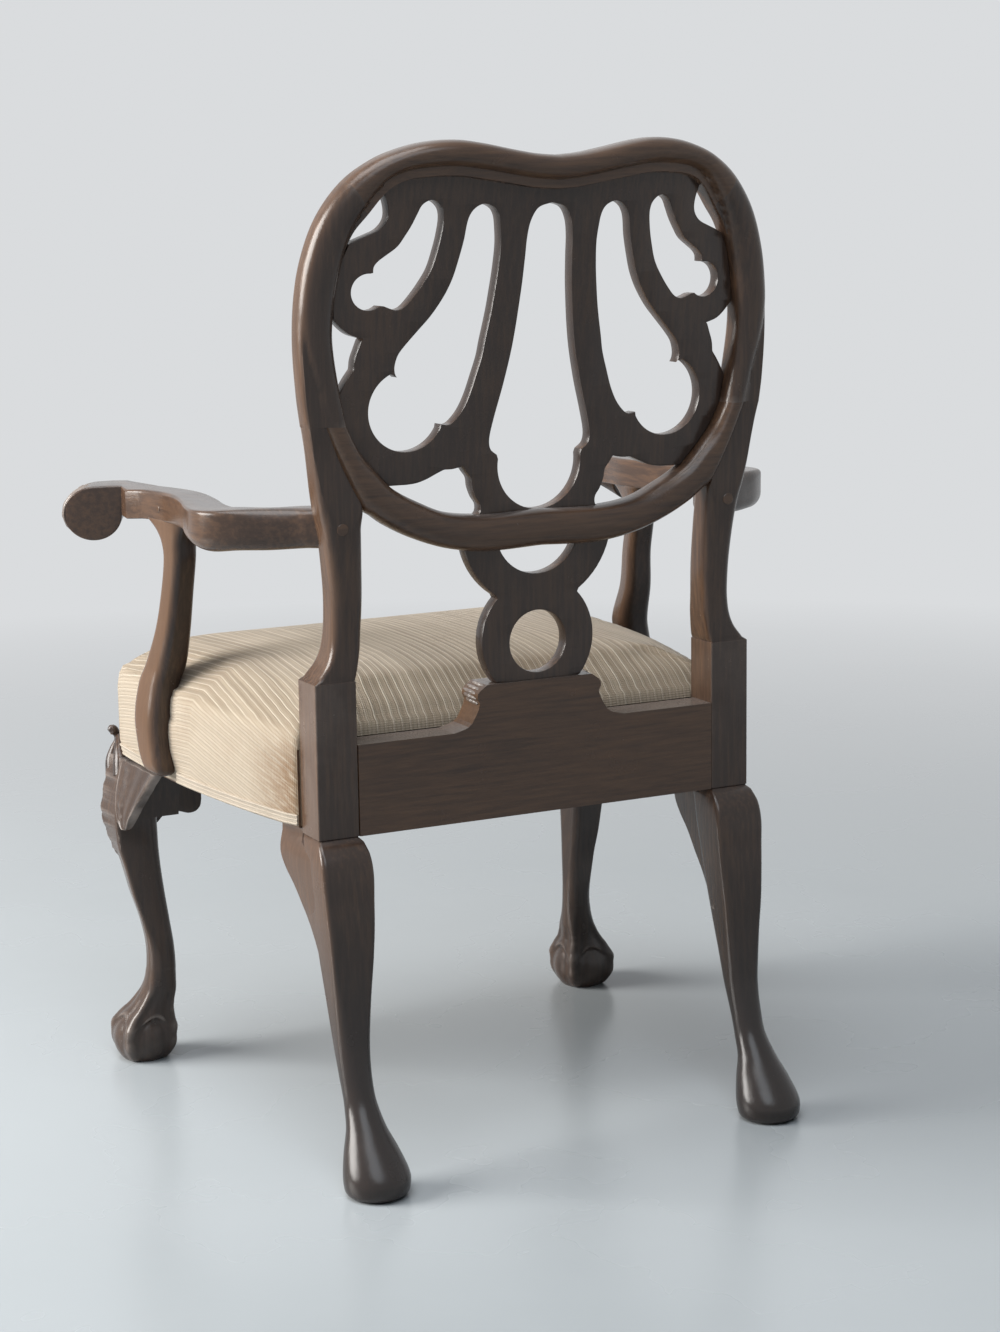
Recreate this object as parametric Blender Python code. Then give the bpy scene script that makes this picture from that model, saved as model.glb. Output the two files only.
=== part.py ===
"""Carved open armchair with a pierced splat, as separate joined pieces.

Metres, +Z up, the chair faces -Y and the floor is z = 0. Sizes below are millimetres.
Y is measured from the rear face of the seat frame; the empty that carries the pieces
moves that line back so that the chair's box is centred on the origin.
"""
import math

import bmesh
import bpy
from mathutils import Vector

for old in list(bpy.data.objects):
    bpy.data.objects.remove(old, do_unlink=True)

MM = 0.001
GAP = 0.3
SIDES = 16
SQUARE = 20.0

# The chair as a whole
FRAME_TO_CENTRE = 178.375
RAKE_START = 500.0
STILE_RAKE = 0.05e-3
CENTRE_BOW = 0.17e-3
BOW_HALF_WIDTH = 250.0

# Rear posts
POST_INNER = 197.0
POST_OUTER = 240.0
POST_X = (POST_INNER + POST_OUTER) / 2
POST_DEPTH = 42.0
BLOCK_BOTTOM = 333.0
BLOCK_TOP = 485.0
HOOP_HALF_DEPTH = 17.5
HOOP_SETBACK = 1.5

# Rear rail and its raised shoe
REAR_RAIL_DEPTH = 45.0
REBATE_DEPTH = 10.0
REAR_RAIL_TOP = 422.7
SHOE_TOP = 467.0

# Side and front rails
RAIL_BOTTOM = 338.0
RAIL_TOP = 415.0
RAIL_THICK = 25.0
TENON_THICK = 10.0
TENON_LENGTH = 15.0
TENON_BOTTOM = 350.0
TENON_TOP = 402.0

# Seat plan: half width at the rear post and how it bows out towards the front
SEAT_REAR = -33.0
SEAT_HALF_REAR = 243.0
SEAT_SPLAY = 0.235
SEAT_BOW = 0.34e-3
SEAT_BACK = -44.0
SEAT_FRONT = -458.0
SEAT_CORNER = 10.0
SEAT_CENTRE = (0.0, -240.0)
LIP_RISE = 2.0
COVER_LIP = RAIL_BOTTOM + LIP_RISE
COVER_THICK = 2.0
RAIL_INSET = COVER_THICK + 2 * GAP

# Front legs
STUMP_HALF = 20.0
STUMP_POWER = 4.8
STUMP_FRONT = SEAT_FRONT + RAIL_INSET

# Splat
SPLAT_THICK = 15.0
SPLAT_SETBACK = 3.0
TONGUE = 10.0
SPLAT_FOOT_HALF = 44.0
SPLAT_FOOT_DEPTH = 15.0

# Arms
ARM_SCREW_Z = 632.0
SCREW_RADIUS = 2.5
SCREW_HEAD = 5.0
HEAD_THICK = 3.0
PLUG_RADIUS = 6.0
SUPPORT_SCREW_Y = -308.0
SUPPORT_SCREW_Z = 382.0

# Webbing and cloths
STRAP_WIDTH = 50.0
STRAP_THICK = 1.2
STRAP_RAMP = 2.0
STRAP_UNDER = RAIL_TOP + 1.0
STRAP_OVER = RAIL_TOP + 2.9
STRAP_X = (-150.0, -50.0, 50.0, 150.0)
STRAP_Y = (-125.0, -235.0, -345.0)
HESSIAN_BOTTOM = RAIL_TOP + 3.8
HESSIAN_TOP = RAIL_TOP + 4.6
STUFFING_BOTTOM = HESSIAN_TOP + GAP
DUST_BOTTOM = RAIL_BOTTOM - 1.3
DUST_TOP = RAIL_BOTTOM - GAP
GIMP_WIDTH = 11.0
GIMP_THICK = 2.0


def collection(name):
    made = bpy.data.collections.new(name)
    bpy.context.scene.collection.children.link(made)
    return made


PARTS = collection("carved_open_armchair")
CUTTERS = collection("cutters")
HOME = bpy.data.objects.new("seat_frame_line", None)
HOME.location.y = FRAME_TO_CENTRE * MM
PARTS.objects.link(HOME)


def material(name, colour, roughness, metallic=0.0):
    made = bpy.data.materials.new(name)
    made.use_nodes = True
    shader = made.node_tree.nodes["Principled BSDF"]
    shader.inputs["Base Color"].default_value = (*colour, 1.0)
    shader.inputs["Roughness"].default_value = roughness
    shader.inputs["Metallic"].default_value = metallic
    return made


MAHOGANY = material("mahogany", (0.075, 0.035, 0.022), 0.32)
RIBBED_CLOTH = material("ribbed_cloth", (0.62, 0.52, 0.38), 0.85)
BRAID = material("braid", (0.68, 0.58, 0.43), 0.9)
JUTE = material("jute", (0.42, 0.30, 0.17), 0.95)
HAIR = material("hair_stuffing", (0.10, 0.08, 0.06), 1.0)
DUST_CLOTH = material("dust_cloth", (0.02, 0.02, 0.02), 0.95)
STEEL = material("steel", (0.45, 0.44, 0.42), 0.4, 1.0)


# Building blocks

def add(name, mesh, finish=None):
    """Link a mesh as a part, or as a cutter when it has no finish."""
    piece = bpy.data.objects.new(name, mesh)
    piece.parent = HOME
    if finish is None:
        CUTTERS.objects.link(piece)
        piece.hide_render = True
        piece.display_type = "WIRE"
    else:
        PARTS.objects.link(piece)
        mesh.materials.append(finish)
        mesh.shade_smooth()
        mesh.set_sharp_from_angle(angle=math.radians(35))
    return piece


def finish_mesh(name, bm):
    bmesh.ops.recalc_face_normals(bm, faces=bm.faces)
    mesh = bpy.data.meshes.new(name)
    bm.to_mesh(mesh)
    bm.free()
    return mesh


def loft(name, rings, finish=None):
    """Skin a row of rings, each a list of points in millimetres, and cap both ends."""
    bm = bmesh.new()
    rows = [[bm.verts.new(Vector(p) * MM) for p in ring] for ring in rings]
    count = len(rows[0])
    for low, high in zip(rows, rows[1:]):
        for i in range(count):
            j = (i + 1) % count
            bm.faces.new((low[i], low[j], high[j], high[i]))
    bm.faces.new(reversed(rows[0]))
    bm.faces.new(rows[-1])
    bmesh.ops.triangulate(bm, faces=bm.faces)
    return add(name, finish_mesh(name, bm), finish)


def plate(name, outlines, low, high, finish=None, upright=False):
    """A flat outline with holes, raised along Z, or along Y when it stands upright."""
    curve = bpy.data.curves.new(name, "CURVE")
    curve.dimensions = "2D"
    curve.fill_mode = "BOTH"
    curve.extrude = (high - low) / 2 * MM
    for outline in outlines:
        spline = curve.splines.new("POLY")
        spline.points.add(len(outline) - 1)
        for point, (u, v) in zip(spline.points, outline):
            point.co = (u * MM, v * MM, 0.0, 1.0)
        spline.use_cyclic_u = True
    source = bpy.data.objects.new(name, curve)
    bpy.context.scene.collection.objects.link(source)
    graph = bpy.context.evaluated_depsgraph_get()
    flat = bpy.data.meshes.new_from_object(source.evaluated_get(graph))
    bpy.data.objects.remove(source)
    bm = bmesh.new()
    bm.from_mesh(flat)
    bmesh.ops.remove_doubles(bm, verts=bm.verts, dist=1e-6)
    middle = (low + high) / 2 * MM
    for vert in bm.verts:
        u, v, w = vert.co
        vert.co = (u, middle - w, v) if upright else (u, v, middle + w)
    return add(name, finish_mesh(name, bm), finish)


def box(name, low, high, finish=None):
    bm = bmesh.new()
    bmesh.ops.create_cube(bm, size=1.0)
    for vert in bm.verts:
        vert.co = [((a + b) / 2 + c * (b - a)) * MM for a, b, c in zip(low, high, vert.co)]
    return add(name, finish_mesh(name, bm), finish)


def rod(name, axis, steps, centre, finish=None):
    """A round stepped rod along X or Y; steps are (place, radius) and centre the other two."""
    rings = []
    for place, radius in steps:
        ring = []
        for k in range(SIDES):
            angle = k * math.tau / SIDES
            side = centre[0] + radius * math.cos(angle)
            rise = centre[1] + radius * math.sin(angle)
            ring.append((place, side, rise) if axis == "x" else (side, place, rise))
        rings.append(ring)
    return loft(name, rings, finish)


def cut(piece, cutter, operation="DIFFERENCE"):
    boolean = piece.modifiers.new(f"{operation.lower()}_{cutter.name}", "BOOLEAN")
    boolean.operation = operation
    boolean.object = cutter
    boolean.solver = "EXACT"


def round_square(power):
    """Unit outline between a circle (power 2) and a square (high power)."""
    points = []
    for k in range(SIDES):
        u = math.cos(k * math.tau / SIDES)
        v = math.sin(k * math.tau / SIDES)
        size = (abs(u) ** power + abs(v) ** power) ** (1 / power)
        points.append((u / size, v / size))
    return points


def level_ring(x, y, z, half_x, half_y, power, turn=0.0):
    c = math.cos(turn)
    s = math.sin(turn)
    ring = []
    for u, v in round_square(power):
        a = u * half_x
        b = v * half_y
        ring.append((x + a * c - b * s, y + a * s + b * c, z))
    return ring


def mirrored(rings):
    return [[(-x, y, z) for x, y, z in ring] for ring in rings]


def pair(maker):
    """Make a left piece (+X) and its right-hand mirror image."""
    return {"left": maker("left", lambda rings: rings), "right": maker("right", mirrored)}


def smooth(points, steps=3):
    """Catmull-Rom curve through the points, ends included."""
    path = [points[0], *points, points[-1]]
    result = []
    for a, b, c, d in zip(path, path[1:], path[2:], path[3:]):
        for k in range(steps):
            t = k / steps
            result.append(tuple(
                0.5 * (2 * q + (r - p) * t + (2 * p - 5 * q + 4 * r - s) * t * t
                       + (3 * q - p - 3 * r + s) * t ** 3)
                for p, q, r, s in zip(a, b, c, d)))
    result.append(points[-1])
    return result


def arc(centre, radius, start, end, steps):
    """Points on a circle; angles in degrees from +X towards +Z."""
    points = []
    for k in range(steps + 1):
        angle = math.radians(start + (end - start) * k / steps)
        points.append((centre[0] + radius * math.cos(angle), centre[1] + radius * math.sin(angle)))
    return points


def both_sides(half):
    """Close a half outline with its mirror image across the centre line."""
    return half + [(-x, z) for x, z in reversed(half) if x > 1e-6]


def flipped(outline):
    return [(-x, z) for x, z in outline]


# Back surface

def back_y(x, z):
    """The back leans more as it rises, and its middle is bowed further back than its sides."""
    rise = max(z - RAKE_START, 0.0)
    return rise ** 2 * (STILE_RAKE + CENTRE_BOW * (1 - (x / BOW_HALF_WIDTH) ** 2))


def back_ring(inner, outer, power=4.0, y_middle=None, half_depth=HOOP_HALF_DEPTH):
    """A section of the hoop from its inner to its outer edge, both points in X and Z."""
    x = (inner[0] + outer[0]) / 2
    z = (inner[1] + outer[1]) / 2
    dx = (outer[0] - inner[0]) / 2
    dz = (outer[1] - inner[1]) / 2
    y = back_y(x, z) - HOOP_SETBACK if y_middle is None else y_middle
    return [(x + u * dx, y + v * half_depth, z + u * dz) for u, v in round_square(power)]


# Rear posts: foot, swept leg, block and stile in one timber

REAR_LEG = (
    # z, x from the post's axis, y, half width, squareness
    (0, 2.0, 73.5, 25.0, 2.0),
    (8, 2.0, 74.0, 31.5, 2.0),
    (20, 1.7, 72.3, 32.5, 2.0),
    (40, 1.8, 62.3, 27.0, 2.0),
    (60, 1.9, 50.8, 19.6, 2.0),
    (80, 1.6, 37.8, 16.0, 2.0),
    (100, 1.9, 29.6, 15.5, 2.0),
    (130, 1.5, 20.2, 16.4, 2.5),
    (160, 1.3, 15.0, 18.0, 3.0),
    (190, 0.9, 10.4, 20.0, 3.5),
    (220, 0.5, 7.0, 22.3, 4.0),
    (250, 0.0, 3.0, 24.5, 4.0),
    (275, 0.0, -1.0, 26.0, 4.0),
    (300, 0.0, -4.5, 27.0, 4.5),
    (318, 0.0, -9.5, 26.0, 5.0),
    (329, 0.0, -17.0, 23.5, 6.0),
)
STILE = (
    # z, inner x, outer x, middle y, half depth
    (492, 195.0, 233.0, -20.5, 20.5),
    (502, 192.5, 225.0, -19.5, 19.5),
    (520, 189.5, 220.0, -18.0, 18.5),
    (560, 187.2, 219.0, -15.0, 18.0),
    (600, 187.5, 222.5, -12.0, 17.5),
    (630, 188.5, 227.0, -9.0, 17.5),
)
HOOP_SIDE = (
    # inner and outer edge, middle y; the rail's shoulder is the jump in the inner edge
    ((190.3, 650.0), (232.0, 650.0), -7.0),
    ((212.3, 695.0), (240.0, 697.0), -3.0),
    ((226.3, 728.7), (245.5, 727.0), 0.0),
    ((205.0, 729.3), (246.0, 731.0), 0.5),
    ((211.5, 762.0), (249.5, 757.0), None),
    ((217.5, 810.0), (252.3, 806.0), None),
    ((215.0, 845.0), (250.5, 848.0), None),
    ((208.0, 880.0), (244.0, 885.0), None),
    ((198.0, 905.0), (230.0, 922.0), None),
    ((185.0, 922.0), (207.0, 953.0), None),
)


def stile_rings(grow=0.0):
    """The stile from the block to where the arm and the hoop rail leave it."""
    rings = []
    for z, inner, outer, y, depth in STILE:
        rings.append(back_ring((inner - grow, z), (outer + grow, z), 4.0, y, depth + grow))
    for (x_in, z_in), (x_out, z_out), y in HOOP_SIDE[:2]:
        rings.append(back_ring((x_in - grow, z_in), (x_out + grow, z_out), 4.0, y, HOOP_HALF_DEPTH + grow))
    return rings


def post_rings():
    rings = []
    for z, x, y, half, power in REAR_LEG:
        rings.append(level_ring(POST_X + x, y, z, half, half, power))
    half = (POST_OUTER - POST_INNER) / 2
    for z in (BLOCK_BOTTOM, BLOCK_TOP):
        rings.append(level_ring(POST_X, -POST_DEPTH / 2, z, half, POST_DEPTH / 2, SQUARE))
    rings += stile_rings()
    for inner, outer, y in HOOP_SIDE[2:]:
        rings.append(back_ring(inner, outer, 4.0, y))
    return rings


def make_post(side, place):
    return loft(f"rear_post_{side}", place(post_rings()), MAHOGANY)


POSTS = pair(make_post)

# Crest rail

CREST = (
    # inner and outer edge from the joint to the centre dip
    ((184.7, 922.3), (206.7, 953.3)),
    ((167.0, 944.0), (178.0, 973.5)),
    ((150.0, 953.0), (152.0, 983.5)),
    ((125.0, 956.0), (128.0, 988.5)),
    ((100.0, 956.0), (103.0, 989.6)),
    ((75.0, 952.5), (78.0, 986.5)),
    ((50.0, 948.5), (50.0, 981.0)),
    ((25.0, 944.5), (24.0, 976.5)),
    ((0.0, 942.5), (0.0, 974.5)),
)
HALF_CREST = [back_ring(inner, outer) for inner, outer in CREST]
crest_rail = loft("crest_rail", HALF_CREST + mirrored(HALF_CREST[-2::-1]), MAHOGANY)

# Lower hoop rail, seated on the stiles' shoulders

HOOP_RAIL = (
    # upper (inner) and lower (outer) edge from the shoulder to the centre
    ((204.8, 729.0), (225.6, 728.3)),
    ((198.0, 714.5), (206.3, 685.0)),
    ((190.0, 702.0), (189.6, 650.0)),
    ((180.0, 690.0), (179.0, 642.5)),
    ((160.0, 669.0), (165.0, 632.5)),
    ((130.0, 652.0), (138.0, 618.5)),
    ((100.0, 640.0), (103.0, 606.0)),
    ((60.0, 635.5), (60.0, 599.5)),
    ((0.0, 637.0), (0.0, 601.0)),
)
HALF_HOOP = [back_ring(inner, outer) for inner, outer in HOOP_RAIL]
hoop_rail = loft("hoop_rail", HALF_HOOP + mirrored(HALF_HOOP[-2::-1]), MAHOGANY)

# Dowels of square section between stile and crest, made on the crest

DOWEL_HALF = 5.0
DOWEL_LENGTH = 18.0


def dowel_rings(grow):
    """A square tenon that leaves the crest's end along the joint's normal."""
    inner, outer = CREST[0]
    middle = Vector(((inner[0] + outer[0]) / 2, (inner[1] + outer[1]) / 2))
    across = (Vector(outer) - Vector(inner)).normalized()
    down = Vector((across.y, -across.x))
    y = back_y(*middle) - HOOP_SETBACK
    half = DOWEL_HALF + grow
    rings = []
    for reach in (-DOWEL_LENGTH, DOWEL_LENGTH + grow):
        ring = []
        for a, b in ((-half, -half), (half, -half), (half, half), (-half, half)):
            point = middle + across * a + down * reach
            ring.append((point.x, y + b, point.y))
        rings.append(ring)
    return rings


def make_dowels(side, place):
    cut(crest_rail, loft(f"crest_tenon_{side}", place(dowel_rings(0.0))), "UNION")
    cut(POSTS[side], loft(f"crest_mortise_{side}", place(dowel_rings(GAP))))


pair(make_dowels)

# Splat: an outline and its piercings, X and Z in millimetres

UPPER_LOBE = ((0.0, 681.5), 45.0)
MIDDLE_LOBE = ((141.0, 739.5), 39.0)
SHOULDER_LOBE = ((180.5, 852.0), 17.0)
RING_OUTER = ((0.0, 508.0), 61.5)
RING_HOLE = ((0.0, 505.0), 31.0)
NECK_LOBE = ((0.0, 622.0), 82.0)
CRESCENT = ((0.0, 618.0), 45.5)

centre_opening = both_sides(
    smooth([(0.0, 930.5), (14.0, 926.0), (21.0, 915.0), (25.0, 880.0), (33.0, 800.0), (41.0, 762.0),
            (50.5, 727.0), (54.5, 708.0), (53.0, 698.0), (46.0, 692.0)])
    + arc(*UPPER_LOBE, 8, -90, 8))
outer_opening = (
    smooth([(106.0, 725.0), (98.0, 724.0), (92.5, 727.0), (84.0, 737.0), (71.0, 769.0), (63.0, 801.0),
            (54.5, 852.0), (51.3, 892.0), (55.0, 920.0), (60.0, 927.0), (70.5, 930.5), (80.0, 926.0),
            (85.5, 917.0), (94.0, 877.0), (107.0, 845.0), (132.0, 814.0), (151.0, 792.0), (154.0, 782.0),
            (151.5, 771.5)], 2)
    + arc(*MIDDLE_LOBE, 68, -152, 12))
shoulder_opening = (
    smooth([(176.5, 869.5), (172.0, 880.0), (154.0, 893.0), (141.0, 912.0), (136.0, 922.0), (131.0, 931.0),
            (122.0, 935.0), (113.0, 929.0), (110.0, 920.0), (114.5, 890.0), (129.0, 857.0), (146.0, 837.0),
            (158.0, 835.5), (165.5, 838.5)], 2)
    + arc(*SHOULDER_LOBE, -130, 95, 8))
crescent_opening = both_sides(
    smooth([(0.0, 601.5), (20.0, 603.5), (38.0, 610.0)])
    + arc(*CRESCENT, -14, -90, 6))
ring_hole = arc(*RING_HOLE, 0, 345, 23)


def beside(points, inset=GAP):
    """Shift contact points towards the centre line by the gap."""
    return [(x - inset, z) for x, z in points]


top_edge = [(x, z + TONGUE) for (x, z), _ in reversed(CREST[1:])]
outer_edge = (
    top_edge
    + smooth([(166.8, 942.0), (163.5, 922.0), (172.0, 909.0), (193.0, 900.0)])
    + beside([HOOP_SIDE[8][0], HOOP_SIDE[7][0], HOOP_SIDE[6][0]])
    + smooth([(213.0, 827.0), (198.0, 813.0), (186.0, 809.0)])
    + smooth([(193.5, 790.0), (194.5, 781.0)])
    + smooth([(200.0, 773.0), (209.0, 757.0)])
    + beside([HOOP_RAIL[0][0], HOOP_RAIL[1][0], HOOP_RAIL[2][0], HOOP_RAIL[3][0], HOOP_RAIL[4][0]], 0.6)
    + smooth([(148.0, 669.0), (130.0, 670.0), (110.0, 677.5), (103.0, 680.5), (93.0, 681.0), (82.0, 683.0)])
    + smooth([(73.5, 671.0), (72.0, 662.0), (63.0, 644.0), (64.0, 636.0), (78.0, 628.0)])
    + arc(*NECK_LOBE, 0, -56, 8)
    + arc(*RING_OUTER, 44, -41, 10)
    + [(SPLAT_FOOT_HALF, SHOE_TOP), (SPLAT_FOOT_HALF, SHOE_TOP - SPLAT_FOOT_DEPTH)])

SPLAT_FRONT = -SPLAT_SETBACK - SPLAT_THICK
splat = plate(
    "splat",
    [both_sides(outer_edge), centre_opening, outer_opening, flipped(outer_opening),
     shoulder_opening, flipped(shoulder_opening), crescent_opening, ring_hole],
    SPLAT_FRONT, -SPLAT_SETBACK, MAHOGANY, upright=True)
for vert in splat.data.vertices:
    vert.co.y += back_y(vert.co.x / MM, vert.co.z / MM) * MM


def groove_rings():
    """The groove in the crest that takes the splat's tongue."""
    rings = []
    for (x, z), _ in CREST[1:]:
        low = z - TONGUE
        high = z + TONGUE + GAP
        front = SPLAT_FRONT - 2 * GAP
        rear = 2 * GAP - SPLAT_SETBACK
        corners = ((front, low), (rear, low), (rear, high), (front, high))
        rings.append([(x, back_y(x, level) + y, level) for y, level in corners])
    first = [(x + GAP, y, z) for x, y, z in rings[0]]
    return [first, *rings[1:]]


HALF_GROOVE = groove_rings()
cut(crest_rail, loft("crest_groove", HALF_GROOVE + mirrored(HALF_GROOVE[-2::-1])))
HALVING_HALF = NECK_LOBE[1] + GAP
HALVING_REAR = 1.6
HALVING_FRONT = -60.0
HALVING_LOW = 590.0
HALVING_HIGH = 645.0
cut(hoop_rail, box("hoop_halving", (-HALVING_HALF, HALVING_FRONT, HALVING_LOW),
                   (HALVING_HALF, HALVING_REAR, HALVING_HIGH)))

# Rear rail with its shoe

shoe_side = smooth([(95.0, REAR_RAIL_TOP), (83.0, 425.5), (75.0, 430.5), (67.5, 444.0), (66.5, 450.0),
                    (68.5, 454.0), (68.0, 459.0), (64.0, 463.0), (58.0, SHOE_TOP)], 2)
RAIL_END = POST_INNER - GAP
rear_seat_rail = plate(
    "rear_seat_rail",
    [both_sides([(RAIL_END, BLOCK_BOTTOM), (RAIL_END, REAR_RAIL_TOP), *shoe_side])],
    -REAR_RAIL_DEPTH, 0.0, MAHOGANY, upright=True)
cut(rear_seat_rail, box("seat_rebate", (-POST_OUTER, -2 * REAR_RAIL_DEPTH, RAIL_TOP),
                        (POST_OUTER, REBATE_DEPTH - REAR_RAIL_DEPTH, 2 * SHOE_TOP)))
foot_half = SPLAT_FOOT_HALF + GAP
cut(rear_seat_rail, box("splat_mortise",
                        (-foot_half, SPLAT_FRONT - GAP, SHOE_TOP - SPLAT_FOOT_DEPTH - GAP),
                        (foot_half, GAP - SPLAT_SETBACK, SHOE_TOP + TONGUE)))
REAR_TENON_FRONT = -28.0


def make_rear_tenon(side, place):
    for grow, name in ((0.0, "tenon"), (GAP, "mortise")):
        rings = []
        for x in (POST_INNER - TENON_LENGTH, POST_INNER + TENON_LENGTH + grow):
            front = REAR_TENON_FRONT - grow
            rear = REAR_TENON_FRONT + TENON_THICK + grow
            low = TENON_BOTTOM - grow
            high = TENON_TOP + grow
            rings.append([(x, front, low), (x, rear, low), (x, rear, high), (x, front, high)])
        cutter = loft(f"rear_rail_{name}_{side}", place(rings))
        if grow:
            cut(POSTS[side], cutter)
        else:
            cut(rear_seat_rail, cutter, "UNION")


pair(make_rear_tenon)


# Seat plan

def seat_half(y):
    """Half width of the covered seat at a depth."""
    s = SEAT_REAR - y
    return SEAT_HALF_REAR + SEAT_SPLAY * s - SEAT_BOW * s ** 2


STUMP_REAR = STUMP_FRONT + 2 * STUMP_HALF
STUMP_X = seat_half(SEAT_FRONT + SEAT_CORNER) - RAIL_INSET - STUMP_HALF
STUMP_Y = STUMP_FRONT + STUMP_HALF
STUMP_INNER = STUMP_X - STUMP_HALF

# Front legs: stump, knee, ankle and ball foot

FRONT_LEG = (
    # z, x and y from the stump's axis, half width, squareness, claw depth
    (0, 16.2, 8.4, 26.0, 2.0, 0.0),
    (10, 16.2, 8.4, 35.5, 2.0, 0.05),
    (26, 16.2, 8.4, 37.5, 2.0, 0.06),
    (45, 14.6, 9.4, 32.0, 2.0, 0.06),
    (60, 9.8, 16.0, 25.0, 2.0, 0.04),
    (80, 2.4, 22.6, 18.3, 2.0, 0.0),
    (100, -0.2, 25.8, 15.8, 2.0, 0.0),
    (130, 0.0, 25.6, 14.8, 2.2, 0.0),
    (160, 3.6, 21.0, 15.6, 3.0, 0.0),
    (190, 9.2, 16.4, 18.0, 3.5, 0.0),
    (220, 13.6, 11.9, 20.0, 4.0, 0.0),
    (250, 17.6, 6.4, 23.3, 4.0, 0.0),
    (276, 19.6, 2.9, 25.0, 4.0, 0.0),
    (300, 15.3, 0.4, 25.0, 5.0, 0.0),
    (320, 10.2, -2.2, 24.0, 6.0, 0.0),
    (RAIL_BOTTOM - GAP, 5.6, -1.6, 23.0, 8.0, 0.0),
)


def leg_rings():
    rings = []
    for z, dx, dy, half, power, claw in FRONT_LEG:
        x = STUMP_X + dx
        y = STUMP_Y + dy
        lobed = []
        for k, (px, py, pz) in enumerate(level_ring(x, y, z, half, half, power)):
            swell = 1 - claw * math.cos(4 * k * math.tau / SIDES)
            lobed.append((x + (px - x) * swell, y + (py - y) * swell, pz))
        rings.append(lobed)
    for z in (RAIL_BOTTOM, RAIL_TOP):
        rings.append(level_ring(STUMP_X, STUMP_Y, z, STUMP_HALF, STUMP_HALF, STUMP_POWER))
    return rings


def make_leg(side, place):
    return loft(f"front_leg_{side}", place(leg_rings()), MAHOGANY)


LEGS = pair(make_leg)


# Side and front rails, with tenons stepped from the bars

def side_section(y, low, high, inset, thick):
    outer = seat_half(y) - RAIL_INSET - inset
    return [(outer - thick, y, low), (outer, y, low), (outer, y, high), (outer - thick, y, high)]


def side_rail_rings():
    shoulder = (RAIL_THICK - TENON_THICK) / 2
    rear = -POST_DEPTH - GAP
    front = STUMP_REAR + GAP
    rings = [side_section(y, TENON_BOTTOM, TENON_TOP, shoulder, TENON_THICK)
             for y in (rear + TENON_LENGTH, rear)]
    bar_steps = 6
    for k in range(bar_steps + 1):
        y = rear + (front - rear) * k / bar_steps
        rings.append(side_section(y, RAIL_BOTTOM, RAIL_TOP, 0.0, RAIL_THICK))
    rings += [side_section(y, TENON_BOTTOM, TENON_TOP, shoulder, TENON_THICK)
              for y in (front, front - TENON_LENGTH)]
    return rings


def side_mortise_rings(start, end):
    shoulder = (RAIL_THICK - TENON_THICK) / 2 - GAP
    return [side_section(y, TENON_BOTTOM - GAP, TENON_TOP + GAP, shoulder, TENON_THICK + 2 * GAP)
            for y in (start, end)]


def make_side_rail(side, place):
    rear = -POST_DEPTH
    cut(POSTS[side], loft(f"rear_mortise_{side}",
                          place(side_mortise_rings(rear - TENON_LENGTH, rear + TENON_LENGTH))))
    cut(LEGS[side], loft(f"front_mortise_{side}",
                         place(side_mortise_rings(STUMP_REAR + TENON_LENGTH, STUMP_REAR - TENON_LENGTH))))
    return loft(f"side_seat_rail_{side}", place(side_rail_rings()), MAHOGANY)


SIDE_RAILS = pair(make_side_rail)
FRONT_TENON = 12.0
FRONT_TENON_LENGTH = 11.0


def front_section(x, low, high, inset, thick):
    front = STUMP_FRONT + inset
    return [(x, front, low), (x, front + thick, low), (x, front + thick, high), (x, front, high)]


def front_rail_rings():
    end = STUMP_INNER - GAP
    tip = end + FRONT_TENON_LENGTH
    half = [front_section(x, TENON_BOTTOM, TENON_TOP, FRONT_TENON, TENON_THICK) for x in (tip, end)]
    half.append(front_section(end, RAIL_BOTTOM, RAIL_TOP, 0.0, RAIL_THICK))
    return half + mirrored(reversed(half))


front_seat_rail = loft("front_seat_rail", front_rail_rings(), MAHOGANY)


def make_front_mortise(side, place):
    rings = [front_section(x, TENON_BOTTOM - GAP, TENON_TOP + GAP, FRONT_TENON - GAP, TENON_THICK + 2 * GAP)
             for x in (STUMP_INNER - FRONT_TENON_LENGTH, STUMP_INNER + FRONT_TENON_LENGTH)]
    cut(LEGS[side], loft(f"front_rail_mortise_{side}", place(rings)))


pair(make_front_mortise)

# Knee brackets: a block behind each front knee, a lobe along the front rail, an ear on the rear leg

BRACKET_TOP = RAIL_BOTTOM - GAP
LEG_CLEAR = 2 * GAP
KNEE_INNER = STUMP_INNER - 2.4
KNEE_LEAF = 6.0
KNEE_REAR = (19.4, 24.4, 27.4, 29.4)
LOBE_END = STUMP_INNER - 43.4
LOBE_BOTTOM = 266.0
LOBE_DEPTH = 24.0
LOBE_RADIUS = 20.0
EAR_NOSE = -80.0
EAR_FLARE = 0.11
EAR_CURVE = ((0.0, 320.0), (3.0, 307.0), (13.0, 294.0), (27.0, 281.0), (41.0, 264.0))


def knee_block_rings():
    """The block behind the knee, level by level, set in from the knee's outer face."""
    rings = []
    for (z, x, y, half, *_), reach in zip(FRONT_LEG[-4:], KNEE_REAR):
        front = STUMP_Y + y + half + LEG_CLEAR
        rear = STUMP_REAR + reach
        outer = STUMP_X + x + half - KNEE_LEAF
        rings.append([(KNEE_INNER, front, z), (outer, front, z), (outer, rear, z), (KNEE_INNER, rear, z)])
    return rings


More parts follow.
